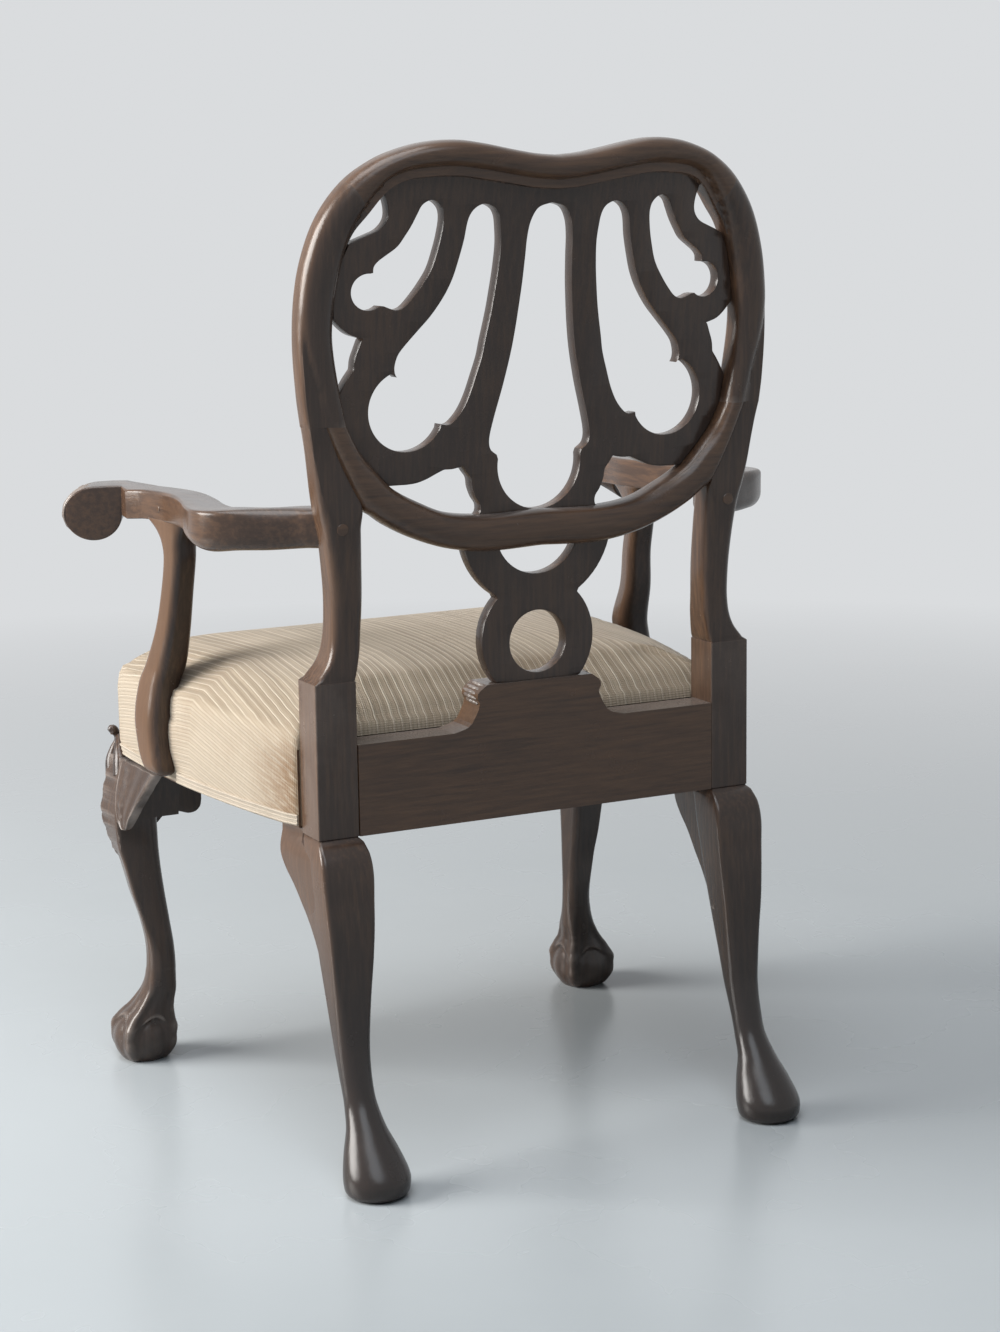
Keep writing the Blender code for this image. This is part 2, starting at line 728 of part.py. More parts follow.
def lobe_outline():
    """The front bracket in X and Z, from the leg's inner face round to the rail."""
    face = [(STUMP_X + x - half - LEG_CLEAR, z) for z, x, y, half, *_ in FRONT_LEG[-4:]]
    face.insert(0, (face[0][0], LOBE_BOTTOM))
    middle = (LOBE_END + LOBE_RADIUS, LOBE_BOTTOM + LOBE_RADIUS)
    return face + [(LOBE_END, BRACKET_TOP)] + arc(middle, LOBE_RADIUS, 180, 270, 5)


def ear_outline():
    """The rear leg's ear in Y and Z, from the leg's face to the nose under the side rail."""
    face = [(y - half - LEG_CLEAR, z) for z, x, y, half, *_ in REAR_LEG[-5:]]
    face += [(-POST_DEPTH - GAP, z) for z in (BLOCK_BOTTOM, BRACKET_TOP)]
    curve = [(EAR_NOSE + reach, z) for reach, z in EAR_CURVE]
    return face + [(EAR_NOSE, BRACKET_TOP)] + curve


def make_brackets(side, place):
    loft(f"knee_bracket_side_{side}", place(knee_block_rings()), MAHOGANY)
    rings = [[(x, y, z) for x, z in lobe_outline()] for y in (STUMP_FRONT, STUMP_FRONT + LOBE_DEPTH)]
    loft(f"knee_bracket_front_{side}", place(rings), MAHOGANY)
    inner = [(POST_INNER, y, z) for y, z in ear_outline()]
    outer = [(POST_OUTER - RAIL_INSET - EAR_FLARE * y, y, z) for y, z in ear_outline()]
    loft(f"rear_bracket_{side}", place([inner, outer]), MAHOGANY)


pair(make_brackets)

# Corner blocks glued across the frame

BLOCK_LOW = 366.0
BLOCK_HIGH = 406.0
FRONT_BLOCK_X = (150.0, 185.0)
FRONT_BLOCK_Y = (-372.0, -338.0)
REAR_BLOCK_X = (125.0, 160.0)
REAR_BLOCK_Y = (-84.0, -116.0)


def side_inner(y):
    return seat_half(y) - RAIL_INSET - RAIL_THICK - GAP


def make_corner_blocks(side, place):
    front_face = STUMP_FRONT + RAIL_THICK + GAP
    rear_face = -REAR_RAIL_DEPTH - GAP
    runs = {
        "front": (FRONT_BLOCK_X, front_face, FRONT_BLOCK_Y),
        "rear": (REAR_BLOCK_X, rear_face, REAR_BLOCK_Y),
    }
    for end, (along_x, face, along_y) in runs.items():
        outline = [(x, face) for x in along_x] + [(side_inner(y), y) for y in along_y]
        rings = [[(x, y, z) for x, y in outline] for z in (BLOCK_LOW, BLOCK_HIGH)]
        loft(f"corner_block_{end}_{side}", place(rings), MAHOGANY)


pair(make_corner_blocks)

# Arm supports, lapped on the outside of the side rails

SUPPORT_LINE = seat_half(SUPPORT_SCREW_Y)
SUPPORT = (
    # z, x from the seat's side, y, half x, half y
    (346, 9.1, -298.0, 14.0, 15.0),
    (352, 9.1, -299.0, 14.5, 17.5),
    (375, 9.1, -307.0, 15.0, 20.0),
    (405, 8.1, -313.0, 15.5, 22.0),
    (440, 0.6, -314.0, 17.0, 22.0),
    (460, -5.4, -308.0, 17.5, 20.5),
    (500, -8.2, -290.0, 15.2, 17.0),
    (540, -11.1, -281.5, 14.0, 15.5),
    (580, -11.9, -272.0, 14.0, 15.5),
    (600, -11.9, -274.0, 15.0, 20.0),
    (611, -11.9, -279.0, 16.0, 29.0),
)
SUPPORT_TURN = math.radians(10.0)
SUPPORT_POWER = 5.0
SUPPORT_TENON = 8.0
SUPPORT_TENON_TOP = 630.0
TENON_POINT = (SUPPORT_LINE - 11.9, -276.0)
LAP_REACH = 60.0


def support_rings(grow=0.0):
    return [level_ring(SUPPORT_LINE + x, y, z, half_x + grow, half_y + grow, SUPPORT_POWER, SUPPORT_TURN)
            for z, x, y, half_x, half_y in SUPPORT]


def tenon_box(place, grow, name):
    x, y = TENON_POINT
    half = SUPPORT_TENON + grow
    corners = ((x - half, y - half), (x + half, y - half), (x + half, y + half), (x - half, y + half))
    rings = [[(*corner, z) for corner in corners] for z in (SUPPORT[-2][0], SUPPORT_TENON_TOP + grow)]
    return loft(name, place(rings))


def make_support(side, place):
    piece = loft(f"arm_support_{side}", place(support_rings()), MAHOGANY)
    lap = [side_section(y, RAIL_BOTTOM - GAP, RAIL_TOP + GAP, -GAP, RAIL_THICK)
           for y in (SUPPORT_SCREW_Y + LAP_REACH, SUPPORT_SCREW_Y, SUPPORT_SCREW_Y - LAP_REACH)]
    cut(piece, loft(f"rail_lap_{side}", place(lap)))
    cut(piece, tenon_box(place, 0.0, f"support_tenon_{side}"), "UNION")
    return piece


SUPPORTS = pair(make_support)

# Arms: butted on the stiles, out round the elbow, over the support and out to the scroll

ARM_ROOT = STILE[-1][2]
ARM_REAR = (
    # x from the stile's outer face, y, half width, underside z, top z, squareness
    (-19.0, -14.0, 15.0, 612.0, 649.5, 4.0),
    (2.0, -37.0, 14.0, 611.0, 649.5, 3.0),
    (29.0, -57.0, 14.5, 609.0, 649.0, 2.6),
)
ARM_FRONT = (
    # the same from the elbow on, with x from the seat's side
    (-1.9, -78.0, 17.0, 608.0, 648.0, 2.6),
    (11.1, -103.0, 20.5, 607.0, 646.0, 3.0),
    (8.1, -140.0, 20.5, 608.0, 645.0, 3.0),
    (-1.9, -185.0, 19.0, 611.5, 645.0, 3.0),
    (-10.9, -235.0, 17.5, 612.5, 644.5, 3.5),
    (-13.9, -280.0, 17.0, 612.5, 643.0, 4.0),
    (-6.9, -325.0, 17.5, 611.0, 641.5, 4.0),
    (8.1, -365.0, 20.0, 606.0, 639.5, 4.0),
    (23.1, -397.0, 24.0, 590.0, 637.0, 4.0),
    (35.1, -422.0, 25.5, 582.0, 631.0, 4.0),
    (43.1, -437.0, 23.0, 590.0, 617.0, 4.0),
)
ARM = [(ARM_ROOT + x, *row) for x, *row in ARM_REAR] + [(SUPPORT_LINE + x, *row) for x, *row in ARM_FRONT]


def arm_rings():
    rings = []
    for k, (x, y, half, low, high, power) in enumerate(ARM):
        before = ARM[max(k - 1, 0)]
        after = ARM[min(k + 1, len(ARM) - 1)]
        along = Vector((after[0] - before[0], after[1] - before[1])).normalized()
        across = Vector((1.0, 0.0)) if k == 0 else Vector((-along.y, along.x))
        middle = (low + high) / 2
        ring = []
        for u, v in round_square(power):
            ring.append((x + across.x * u * half, y + across.y * u * half, middle + v * (high - low) / 2))
        rings.append(ring)
    return rings


def make_arm(side, place):
    piece = loft(f"arm_{side}", place(arm_rings()), MAHOGANY)
    cut(piece, tenon_box(place, GAP, f"support_mortise_{side}"))
    cut(piece, loft(f"arm_coping_{side}", place(stile_rings(2 * GAP))))
    return piece


ARMS = pair(make_arm)

# Arm screws, driven from behind through the stiles and plugged

ARM_SCREW_X = ARM_ROOT - 16.0
PLUG_FACE = 7.6
COUNTERBORE = -6.0
ARM_SCREW_TIP = -46.0


def make_arm_screw(side, place):
    sign = 1 if side == "left" else -1
    centre = (sign * ARM_SCREW_X, ARM_SCREW_Z)
    head = COUNTERBORE + GAP
    head_top = head + HEAD_THICK
    rod(f"arm_screw_{side}", "y", [(ARM_SCREW_TIP, SCREW_RADIUS), (head, SCREW_RADIUS), (head, SCREW_HEAD),
                                  (head_top, SCREW_HEAD)], centre, STEEL)
    rod(f"arm_plug_{side}", "y", [(head_top + GAP, PLUG_RADIUS), (PLUG_FACE, PLUG_RADIUS)], centre, MAHOGANY)
    hole = SCREW_RADIUS + GAP
    wide = PLUG_RADIUS + GAP
    bore = rod(f"arm_screw_bore_{side}", "y", [(ARM_SCREW_TIP - GAP, hole), (COUNTERBORE, hole),
                                              (COUNTERBORE, wide), (-ARM_SCREW_TIP, wide)], centre)
    cut(POSTS[side], bore)
    cut(ARMS[side], bore)


pair(make_arm_screw)

# Support screws, driven from inside the side rails

SUPPORT_SCREW_REACH = 40.0


def make_support_screw(side, place):
    sign = 1 if side == "left" else -1
    centre = (SUPPORT_SCREW_Y, SUPPORT_SCREW_Z)
    seat = side_inner(SUPPORT_SCREW_Y)
    tip = seat + SUPPORT_SCREW_REACH
    rod(f"support_screw_{side}", "x",
        [(sign * (seat - HEAD_THICK), SCREW_HEAD), (sign * (seat - GAP), SCREW_HEAD),
         (sign * (seat - GAP), SCREW_RADIUS), (sign * tip, SCREW_RADIUS)], centre, STEEL)
    bore = rod(f"support_screw_bore_{side}", "x",
               [(sign * (seat - RAIL_THICK), SCREW_RADIUS + GAP),
                (sign * (tip + GAP), SCREW_RADIUS + GAP)], centre)
    cut(SIDE_RAILS[side], bore)
    cut(SUPPORTS[side], bore)


pair(make_support_screw)


# Webbing, woven over and under

def strap(name, stations, along, across):
    """A strap through (place, height) stations along Y or X, at a place across."""
    rings = []
    for place, z in stations:
        ring = []
        for side, rise in ((-1, -1), (1, -1), (1, 1), (-1, 1)):
            edge = across + side * STRAP_WIDTH / 2
            height = z + rise * STRAP_THICK / 2
            ring.append((edge, place, height) if along == "y" else (place, edge, height))
        rings.append(ring)
    loft(name, rings, JUTE)


def weave(crossings, first_over, start, end):
    stations = [(start, STRAP_UNDER)]
    for k, place in enumerate(crossings):
        level = STRAP_OVER if (k % 2 == 0) == first_over else STRAP_UNDER
        toward = 1 if end > start else -1
        for shift in (-STRAP_WIDTH / 2 - STRAP_RAMP, STRAP_WIDTH / 2 + STRAP_RAMP):
            stations.append((place + toward * shift, level))
    stations.append((end, STRAP_UNDER))
    return stations


STRAP_LAP = 6.0
STRAP_REAR = REBATE_DEPTH - REAR_RAIL_DEPTH - STRAP_LAP / 2
STRAP_FRONT = STUMP_FRONT + RAIL_THICK - 2 * STRAP_LAP
for k, x in enumerate(STRAP_X):
    strap(f"webbing_long_{k + 1}", weave(STRAP_Y, k % 2 == 0, STRAP_REAR, STRAP_FRONT), "y", x)
for k, y in enumerate(STRAP_Y):
    end = side_inner(y + STRAP_WIDTH / 2) + STRAP_LAP
    strap(f"webbing_cross_{k + 1}", weave(STRAP_X, k % 2 == 1, -end, end), "x", y)


# Seat outline and the cloths that follow it

def seat_outline(inset=0.0, corner=SEAT_CORNER):
    """Plan of the seat from the rear left corner round the front to the rear right."""
    front = SEAT_FRONT + inset
    back = SEAT_BACK - inset
    side_steps = 8
    start_corner = front + corner
    half = []
    for k in range(side_steps + 1):
        y = back + (start_corner - back) * k / side_steps
        half.append((seat_half(y) - inset, y))
    middle = (half[-1][0] - corner, start_corner)
    half += arc(middle, corner, -22, -90, 3)
    front_steps = 4
    reach = half[-1][0]
    half += [(reach * (1 - k / front_steps), front) for k in range(1, front_steps + 1)]
    return half + [(-x, y) for x, y in reversed(half[:-1])]


def rear_edge(outline, steps=8):
    """Points that close the outline along the rear, from right to left."""
    x, y = outline[-1]
    reach = abs(x) - GAP
    return [(-reach + 2 * reach * k / steps, y) for k in range(steps + 1)]


def dome_ring(outline, rear, factor, z):
    """The outline drawn in towards the seat's centre."""
    cx, cy = SEAT_CENTRE
    return [(cx + (x - cx) * factor, cy + (y - cy) * factor, z) for x, y in outline + rear]


# Draw-in of each ring of the crown, and its height
DOME = ((1.0, 432.0), (0.99, 439.5), (0.968, 445.0), (0.92, 452.3), (0.82, 461.2), (0.64, 470.0),
        (0.42, 475.0), (0.18, 477.0))


def wall_ring(outline, rear, z, rear_z):
    return [(x, y, z) for x, y in outline] + [(x, y, rear_z) for x, y in rear]


def seat_shell(inset, drop, floor, rear_floor):
    outline = seat_outline(inset, SEAT_CORNER - inset)
    rear = rear_edge(outline)
    rings = [wall_ring(outline, rear, floor, rear_floor)]
    for factor, z in DOME:
        rings.append(dome_ring(outline, rear, factor, z - drop))
    return rings


COVER_REAR_LIP = STUFFING_BOTTOM + 2.0
outside = seat_shell(0.0, 0.0, COVER_LIP, COVER_REAR_LIP)
inside = seat_shell(COVER_THICK, COVER_THICK, COVER_LIP, COVER_REAR_LIP)
seat_cover = loft("seat_cover", outside[::-1] + inside, RIBBED_CLOTH)
PAD_INSET = COVER_THICK + GAP
pad_rings = seat_shell(PAD_INSET, PAD_INSET, STUFFING_BOTTOM, STUFFING_BOTTOM)
seat_stuffing = loft("seat_stuffing", pad_rings, HAIR)


def make_support_slots(side, place):
    slot = loft(f"support_slot_{side}", place(support_rings(2 * GAP)))
    for piece in (seat_cover, seat_stuffing):
        cut(piece, slot)


pair(make_support_slots)

HESSIAN_INSET = 18.0
HESSIAN_CORNER = 6.0
hessian_outline = seat_outline(HESSIAN_INSET, HESSIAN_CORNER)
hessian_outline = [(x, min(y, STRAP_REAR - STRAP_LAP)) for x, y in hessian_outline]
hessian = plate("hessian", [hessian_outline], HESSIAN_BOTTOM, HESSIAN_TOP, JUTE)

DUST_INSET = 22.0
DUST_REAR = -REAR_RAIL_DEPTH - GAP
DUST_CLEAR = 4.0
DUST_NOTCH = (LOBE_END - DUST_CLEAR, STUMP_REAR + KNEE_REAR[-1] + DUST_CLEAR)
DUST_EAR = (POST_INNER - DUST_CLEAR, EAR_NOSE - DUST_CLEAR)
dust_run = DUST_NOTCH[1] - DUST_EAR[1]
dust_side = [(seat_half(y) - DUST_INSET, y) for y in (DUST_EAR[1] + dust_run * k / 4 for k in range(5))]
dust_half = [(DUST_EAR[0], DUST_REAR), DUST_EAR] + dust_side
dust_half += [DUST_NOTCH, (DUST_NOTCH[0], SEAT_FRONT + DUST_INSET)]
dust_outline = dust_half + [(-x, y) for x, y in reversed(dust_half)]
plate("bottom_cloth", [dust_outline], DUST_BOTTOM, DUST_TOP, DUST_CLOTH)


# Gimp braid along the cover's lower edge

def gimp(name, path):
    """A flat braid laid on the cover along (x, y, normal x, normal y) stations."""
    rings = []
    for x, y, nx, ny in path:
        ring = []
        for out, rise in ((0, 0), (GIMP_THICK, 0), (GIMP_THICK, GIMP_WIDTH), (0, GIMP_WIDTH)):
            ring.append((x + nx * (GAP + out), y + ny * (GAP + out), COVER_LIP + rise))
        rings.append(ring)
    loft(name, rings, BRAID)


def outline_normals(outline):
    path = []
    for k, (x, y) in enumerate(outline):
        a = Vector(outline[max(k - 1, 0)])
        b = Vector(outline[min(k + 1, len(outline) - 1)])
        along = (b - a).normalized()
        path.append((x, y, -along.y, along.x))
    return path


GIMP_REAR_END = -277.0
GIMP_FRONT_START = -322.0


def side_points(start, end, steps):
    places = [start + (end - start) * k / steps for k in range(steps + 1)]
    return [(seat_half(y), y) for y in places]


rear_run = outline_normals(side_points(SEAT_BACK - 1.0, GIMP_REAR_END, 6))
gimp("gimp_left", rear_run)
gimp("gimp_right", [(-x, y, -nx, ny) for x, y, nx, ny in rear_run])
front_half = side_points(GIMP_FRONT_START, SEAT_FRONT + SEAT_CORNER, 4)
corner_middle = (front_half[-1][0] - SEAT_CORNER, SEAT_FRONT + SEAT_CORNER)
front_half += arc(corner_middle, SEAT_CORNER, -22, -90, 3)
front_run = front_half + [(-x, y) for x, y in reversed(front_half)]
gimp("gimp_front", outline_normals(front_run))
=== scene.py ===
"""Dressed model of the carved open armchair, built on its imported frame."""

from math import atan2, copysign, cos, dist, exp, hypot, pi, radians, sin, sqrt, tau

import bmesh
import bpy
from mathutils import Matrix, Vector


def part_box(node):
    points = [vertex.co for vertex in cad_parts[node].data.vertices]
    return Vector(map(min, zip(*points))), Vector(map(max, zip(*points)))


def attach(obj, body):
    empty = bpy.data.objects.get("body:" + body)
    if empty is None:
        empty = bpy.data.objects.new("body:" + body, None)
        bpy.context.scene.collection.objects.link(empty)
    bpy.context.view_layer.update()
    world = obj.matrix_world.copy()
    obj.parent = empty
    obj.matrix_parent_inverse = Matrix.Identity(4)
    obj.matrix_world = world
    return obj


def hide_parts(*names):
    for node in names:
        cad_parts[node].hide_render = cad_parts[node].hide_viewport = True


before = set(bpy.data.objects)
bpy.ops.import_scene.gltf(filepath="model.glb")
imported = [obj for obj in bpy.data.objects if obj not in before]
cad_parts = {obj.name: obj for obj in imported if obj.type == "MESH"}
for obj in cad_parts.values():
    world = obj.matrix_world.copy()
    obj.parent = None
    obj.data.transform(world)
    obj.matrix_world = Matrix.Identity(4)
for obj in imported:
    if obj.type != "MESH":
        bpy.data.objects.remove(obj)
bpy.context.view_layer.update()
SCENE = bpy.context.scene

# Sizes are in millimetres from the rear face of the seat frame; the model's origin is SHIFT further forward
MM = 0.001
SHIFT = 178.375


# Curves and sections

def mix(a, b, t):
    return a + (b - a) * t


def step(low, high, value):
    """Smooth rise from 0 at low to 1 at high; low may be the larger."""
    t = min(max((value - low) / (high - low), 0.0), 1.0)
    return t * t * (3 - 2 * t)


def spline(rows, places, spots):
    """Cubic curve through rows of numbers at rising places, read at the spots."""
    slopes = []
    for k in range(len(rows)):
        a = max(k - 1, 0)
        b = min(k + 1, len(rows) - 1)
        slopes.append([(q - p) / (places[b] - places[a]) for p, q in zip(rows[a], rows[b])])
    result = []
    k = 0
    for spot in spots:
        while k < len(rows) - 2 and spot > places[k + 1]:
            k += 1
        span = places[k + 1] - places[k]
        t = (spot - places[k]) / span
        h = (2 * t ** 3 - 3 * t ** 2 + 1, t ** 3 - 2 * t ** 2 + t, 3 * t ** 2 - 2 * t ** 3, t ** 3 - t ** 2)
        result.append([h[0] * p + h[1] * span * m + h[2] * q + h[3] * span * n
                       for p, m, q, n in zip(rows[k], slopes[k], rows[k + 1], slopes[k + 1])])
    return result


def trace(table, spots):
    """Rows of a table read at values of its first column."""
    return spline([row[1:] for row in table], [row[0] for row in table], spots)


def at(table, spot):
    return trace(table, [spot])[0]


def lengths(points):
    """Running length along a row of points."""
    total = [0.0]
    for a, b in zip(points, points[1:]):
        total.append(total[-1] + dist(a, b))
    return total


def steps(start, end, pitch):
    count = max(int(round(abs(end - start) / pitch)), 1)
    return [mix(start, end, k / count) for k in range(count + 1)]


def smooth(points, pitch=2.5):
    places = lengths(points)
    return [tuple(p) for p in spline(points, places, steps(0.0, places[-1], pitch))]


def turns(count):
    return [tau * k / count for k in range(count)]


def arc(centre, radius, start, end):
    """Points on a circle from one angle to another, in degrees."""
    count = max(int(abs(end - start) / 5), 4)
    angles = [radians(mix(start, end, k / count)) for k in range(count + 1)]
    return [(centre[0] + radius * cos(t), centre[1] + radius * sin(t)) for t in angles]


def both_sides(half):
    """An outline closed by the mirror image of its half, without a second point on the axis."""
    return half + [(-x, z) for x, z in reversed(half) if x > 1e-6]


def flipped(points):
    return [(-x, *rest) for x, *rest in points]


def mirrored(rings):
    return [flipped(ring) for ring in rings]


def rounded(corner, count=12):
    """Unit square with corners rounded by a share of its half size, one for all or one a quarter from +X."""
    corners = corner if isinstance(corner, tuple) else (corner,) * 4
    points = []
    for quarter, c in enumerate(corners):
        for k in range(count):
            angle = pi / 2 * (quarter + (k + 0.5) / count)
            u = cos(angle)
            v = sin(angle)
            points.append((copysign(1 - c, u) + c * u, copysign(1 - c, v) + c * v))
    return points


# Meshes

def place(name, bm, material, nodes=(), angle=40, solid=True):
    """Turn millimetres into a piece that rides on the frame and stands for its nodes."""
    if solid:
        bmesh.ops.recalc_face_normals(bm, faces=bm.faces)
    for vert in bm.verts:
        vert.co = (vert.co.x * MM, (vert.co.y + SHIFT) * MM, vert.co.z * MM)
    mesh = bpy.data.meshes.new(name)
    bm.to_mesh(mesh)
    bm.free()
    mesh.shade_smooth()
    mesh.set_sharp_from_angle(angle=radians(angle))
    mesh.materials.append(material)
    piece = bpy.data.objects.new(name, mesh)
    SCENE.collection.objects.link(piece)
    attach(piece, "root")
    if nodes:
        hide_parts(*nodes)
    return piece


def skin(bm, rings, caps=True):
    """Faces through a row of closed rings; returns the rows of vertices."""
    rows = [[bm.verts.new(p) for p in ring] for ring in rings]
    count = len(rows[0])
    for low, high in zip(rows, rows[1:]):
        for i in range(count):
            j = (i + 1) % count
            bm.faces.new((low[i], low[j], high[j], high[i]))
    if caps:
        bm.faces.new(reversed(rows[0]))
        bm.faces.new(rows[-1])
    return rows


def loft(name, rings, material, nodes=(), angle=40, caps=True):
    bm = bmesh.new()
    skin(bm, rings, caps)
    place(name, bm, material, nodes, angle)


def pair(name, rings, material, part="", angle=40):
    """A lofted piece on the left and its mirror image on the right; each may stand for a part of the frame."""
    for side, turned in (("left", rings), ("right", mirrored(rings))):
        loft(f"{name}_{side}", turned, material, [f"{part}_{side}"] if part else (), angle)


def tube(bm, path, radii, around):
    """A round tube through points with a radius at each."""
    rings = []
    for k, point in enumerate(path):
        a = Vector(path[max(k - 1, 0)])
        b = Vector(path[min(k + 1, len(path) - 1)])
        along = (b - a).normalized()
        across = along.orthogonal() if k == 0 else (across - along * across.dot(along))
        across.normalize()
        third = along.cross(across)
        rings.append([tuple(Vector(point) + (across * cos(t) + third * sin(t)) * radii[k])
                      for t in turns(around)])
    skin(bm, rings)


def carve(name, strands, material):
    """A carved detail of tubes on each side; a strand is its path on the left, its radii and its points around."""
    for side, sign in (("left", 1), ("right", -1)):
        bm = bmesh.new()
        for path, radii, around in strands:
            tube(bm, [(sign * x, y, z) for x, y, z in path], radii, around)
        place(f"{name}_{side}", bm, material)


def unwrap(bm, mark):
    """Give every face corner the UV that mark finds for its vertex."""
    layer = bm.loops.layers.uv.new("UVMap")
    for face in bm.faces:
        for loop in face.loops:
            loop[layer].uv = mark(loop.vert)


def plan_mark(vert):
    return vert.co.x * MM, vert.co.y * MM


# Materials

def node(tree, kind, inputs=None, **settings):
    """A shader node with its settings, and a link or a value on each named input."""
    made = tree.nodes.new("ShaderNode" + kind)
    for key, value in settings.items():
        setattr(made, key, value)
    for key, value in (inputs or {}).items():
        if isinstance(value, bpy.types.NodeSocket):
            tree.links.new(value, made.inputs[key])
        else:
            made.inputs[key].default_value = value
    return made


def start(name, **shader_values):
    material = bpy.data.materials.new(name)
    material.use_nodes = True
    shader = material.node_tree.nodes["Principled BSDF"]
    for key, value in shader_values.items():
        shader.inputs[key.replace("_", " ").title()].default_value = value
    return material, material.node_tree, shader


def calc(operation, a, b=0.0):
    """A sum on a socket; like the functions below, it adds its node to the socket's own tree."""
    return node(a.id_data, "Math", {0: a, 1: b}, operation=operation).outputs[0]


def times(a, b):
    return calc("MULTIPLY", a, b)


def rise(value, low, high, to_low=0.0, to_high=1.0):
    return node(value.id_data, "MapRange", {"Value": value, "From Min": low, "From Max": high,
                                            "To Min": to_low, "To Max": to_high}).outputs[0]


def noise(vector, scale, detail=3.0, roughness=0.55):
    return node(vector.id_data, "TexNoise", {"Vector": vector, "Scale": scale, "Detail": detail,
                                             "Roughness": roughness}).outputs["Fac"]


def zigzag(value):
    """1 at whole numbers and 0 halfway between them."""
    return times(calc("ABSOLUTE", calc("SUBTRACT", calc("FRACT", value), 0.5)), 2.0)


def split(vector):
    return node(vector.id_data, "SeparateXYZ", {"Vector": vector}).outputs


def joined(x, y):
    return node(x.id_data, "CombineXYZ", {"X": x, "Y": y}).outputs[0]


def scaled(vector, scale):
    return node(vector.id_data, "Mapping", {"Vector": vector, "Scale": scale}).outputs[0]


def coordinates(tree, kind="Object"):
    return node(tree, "TexCoord").outputs[kind]


def paint(shader, colour, layers):
    """Lay tints over a first colour, each by its share, and give the result to the shader."""
    tree = shader.id_data
    for share, tint in layers:
        made = node(tree, "Mix", {0: share}, data_type="RGBA")
        for socket, value in ((made.inputs[6], colour), (made.inputs[7], tint)):
            if isinstance(value, tuple):
                socket.default_value = (*value, 1.0)
            else:
                tree.links.new(value, socket)
        colour = made.outputs[2]
    tree.links.new(colour, shader.inputs["Base Color"])


def bump(shader, height, distance, strength):
    made = node(shader.id_data, "Bump", {"Height": height, "Distance": distance, "Strength": strength})
    shader.id_data.links.new(made.outputs[0], shader.inputs["Normal"])


GRAIN = {"x": (5.0, 70.0, 70.0), "y": (70.0, 5.0, 70.0), "z": (70.0, 70.0, 5.0)}
FIGURE = {"x": (2.5, 12.0, 12.0), "y": (12.0, 2.5, 12.0), "z": (12.0, 12.0, 2.5)}
DARK_WOOD = (0.0360, 0.0205, 0.0140)
MID_WOOD = (0.0740, 0.0415, 0.0270)
WARM_WOOD = (0.1500, 0.0790, 0.0410)
# Pale grey of rubbed edges, laid on by pointiness; it also serves as a painted glint along edges
WEAR_GLINT_WOOD = (0.300, 0.250, 0.220)
# Dark tone for painted shade on backs and sides, and for the darkening elsewhere and near the floor
BACK_WOOD = (0.0240, 0.0185, 0.0170)
# Painted reflection: pale grey laid on upward faces, as the sheen of the bright room on them
TOP_SHEEN_WOOD = (0.300, 0.295, 0.295)
POLISH = 0.44
TONES = (0.30, 0.54, 0.48, 0.74)
EVEN_TONES = (0.14, 0.60, 0.36, 0.84)
# Pointiness at which an edge starts to be painted pale, for wear and for a painted glint, and is so in full
EDGE_WEAR_GLINT = (0.53, 0.62)
CARVING_WEAR_GLINT = (0.505, 0.55)


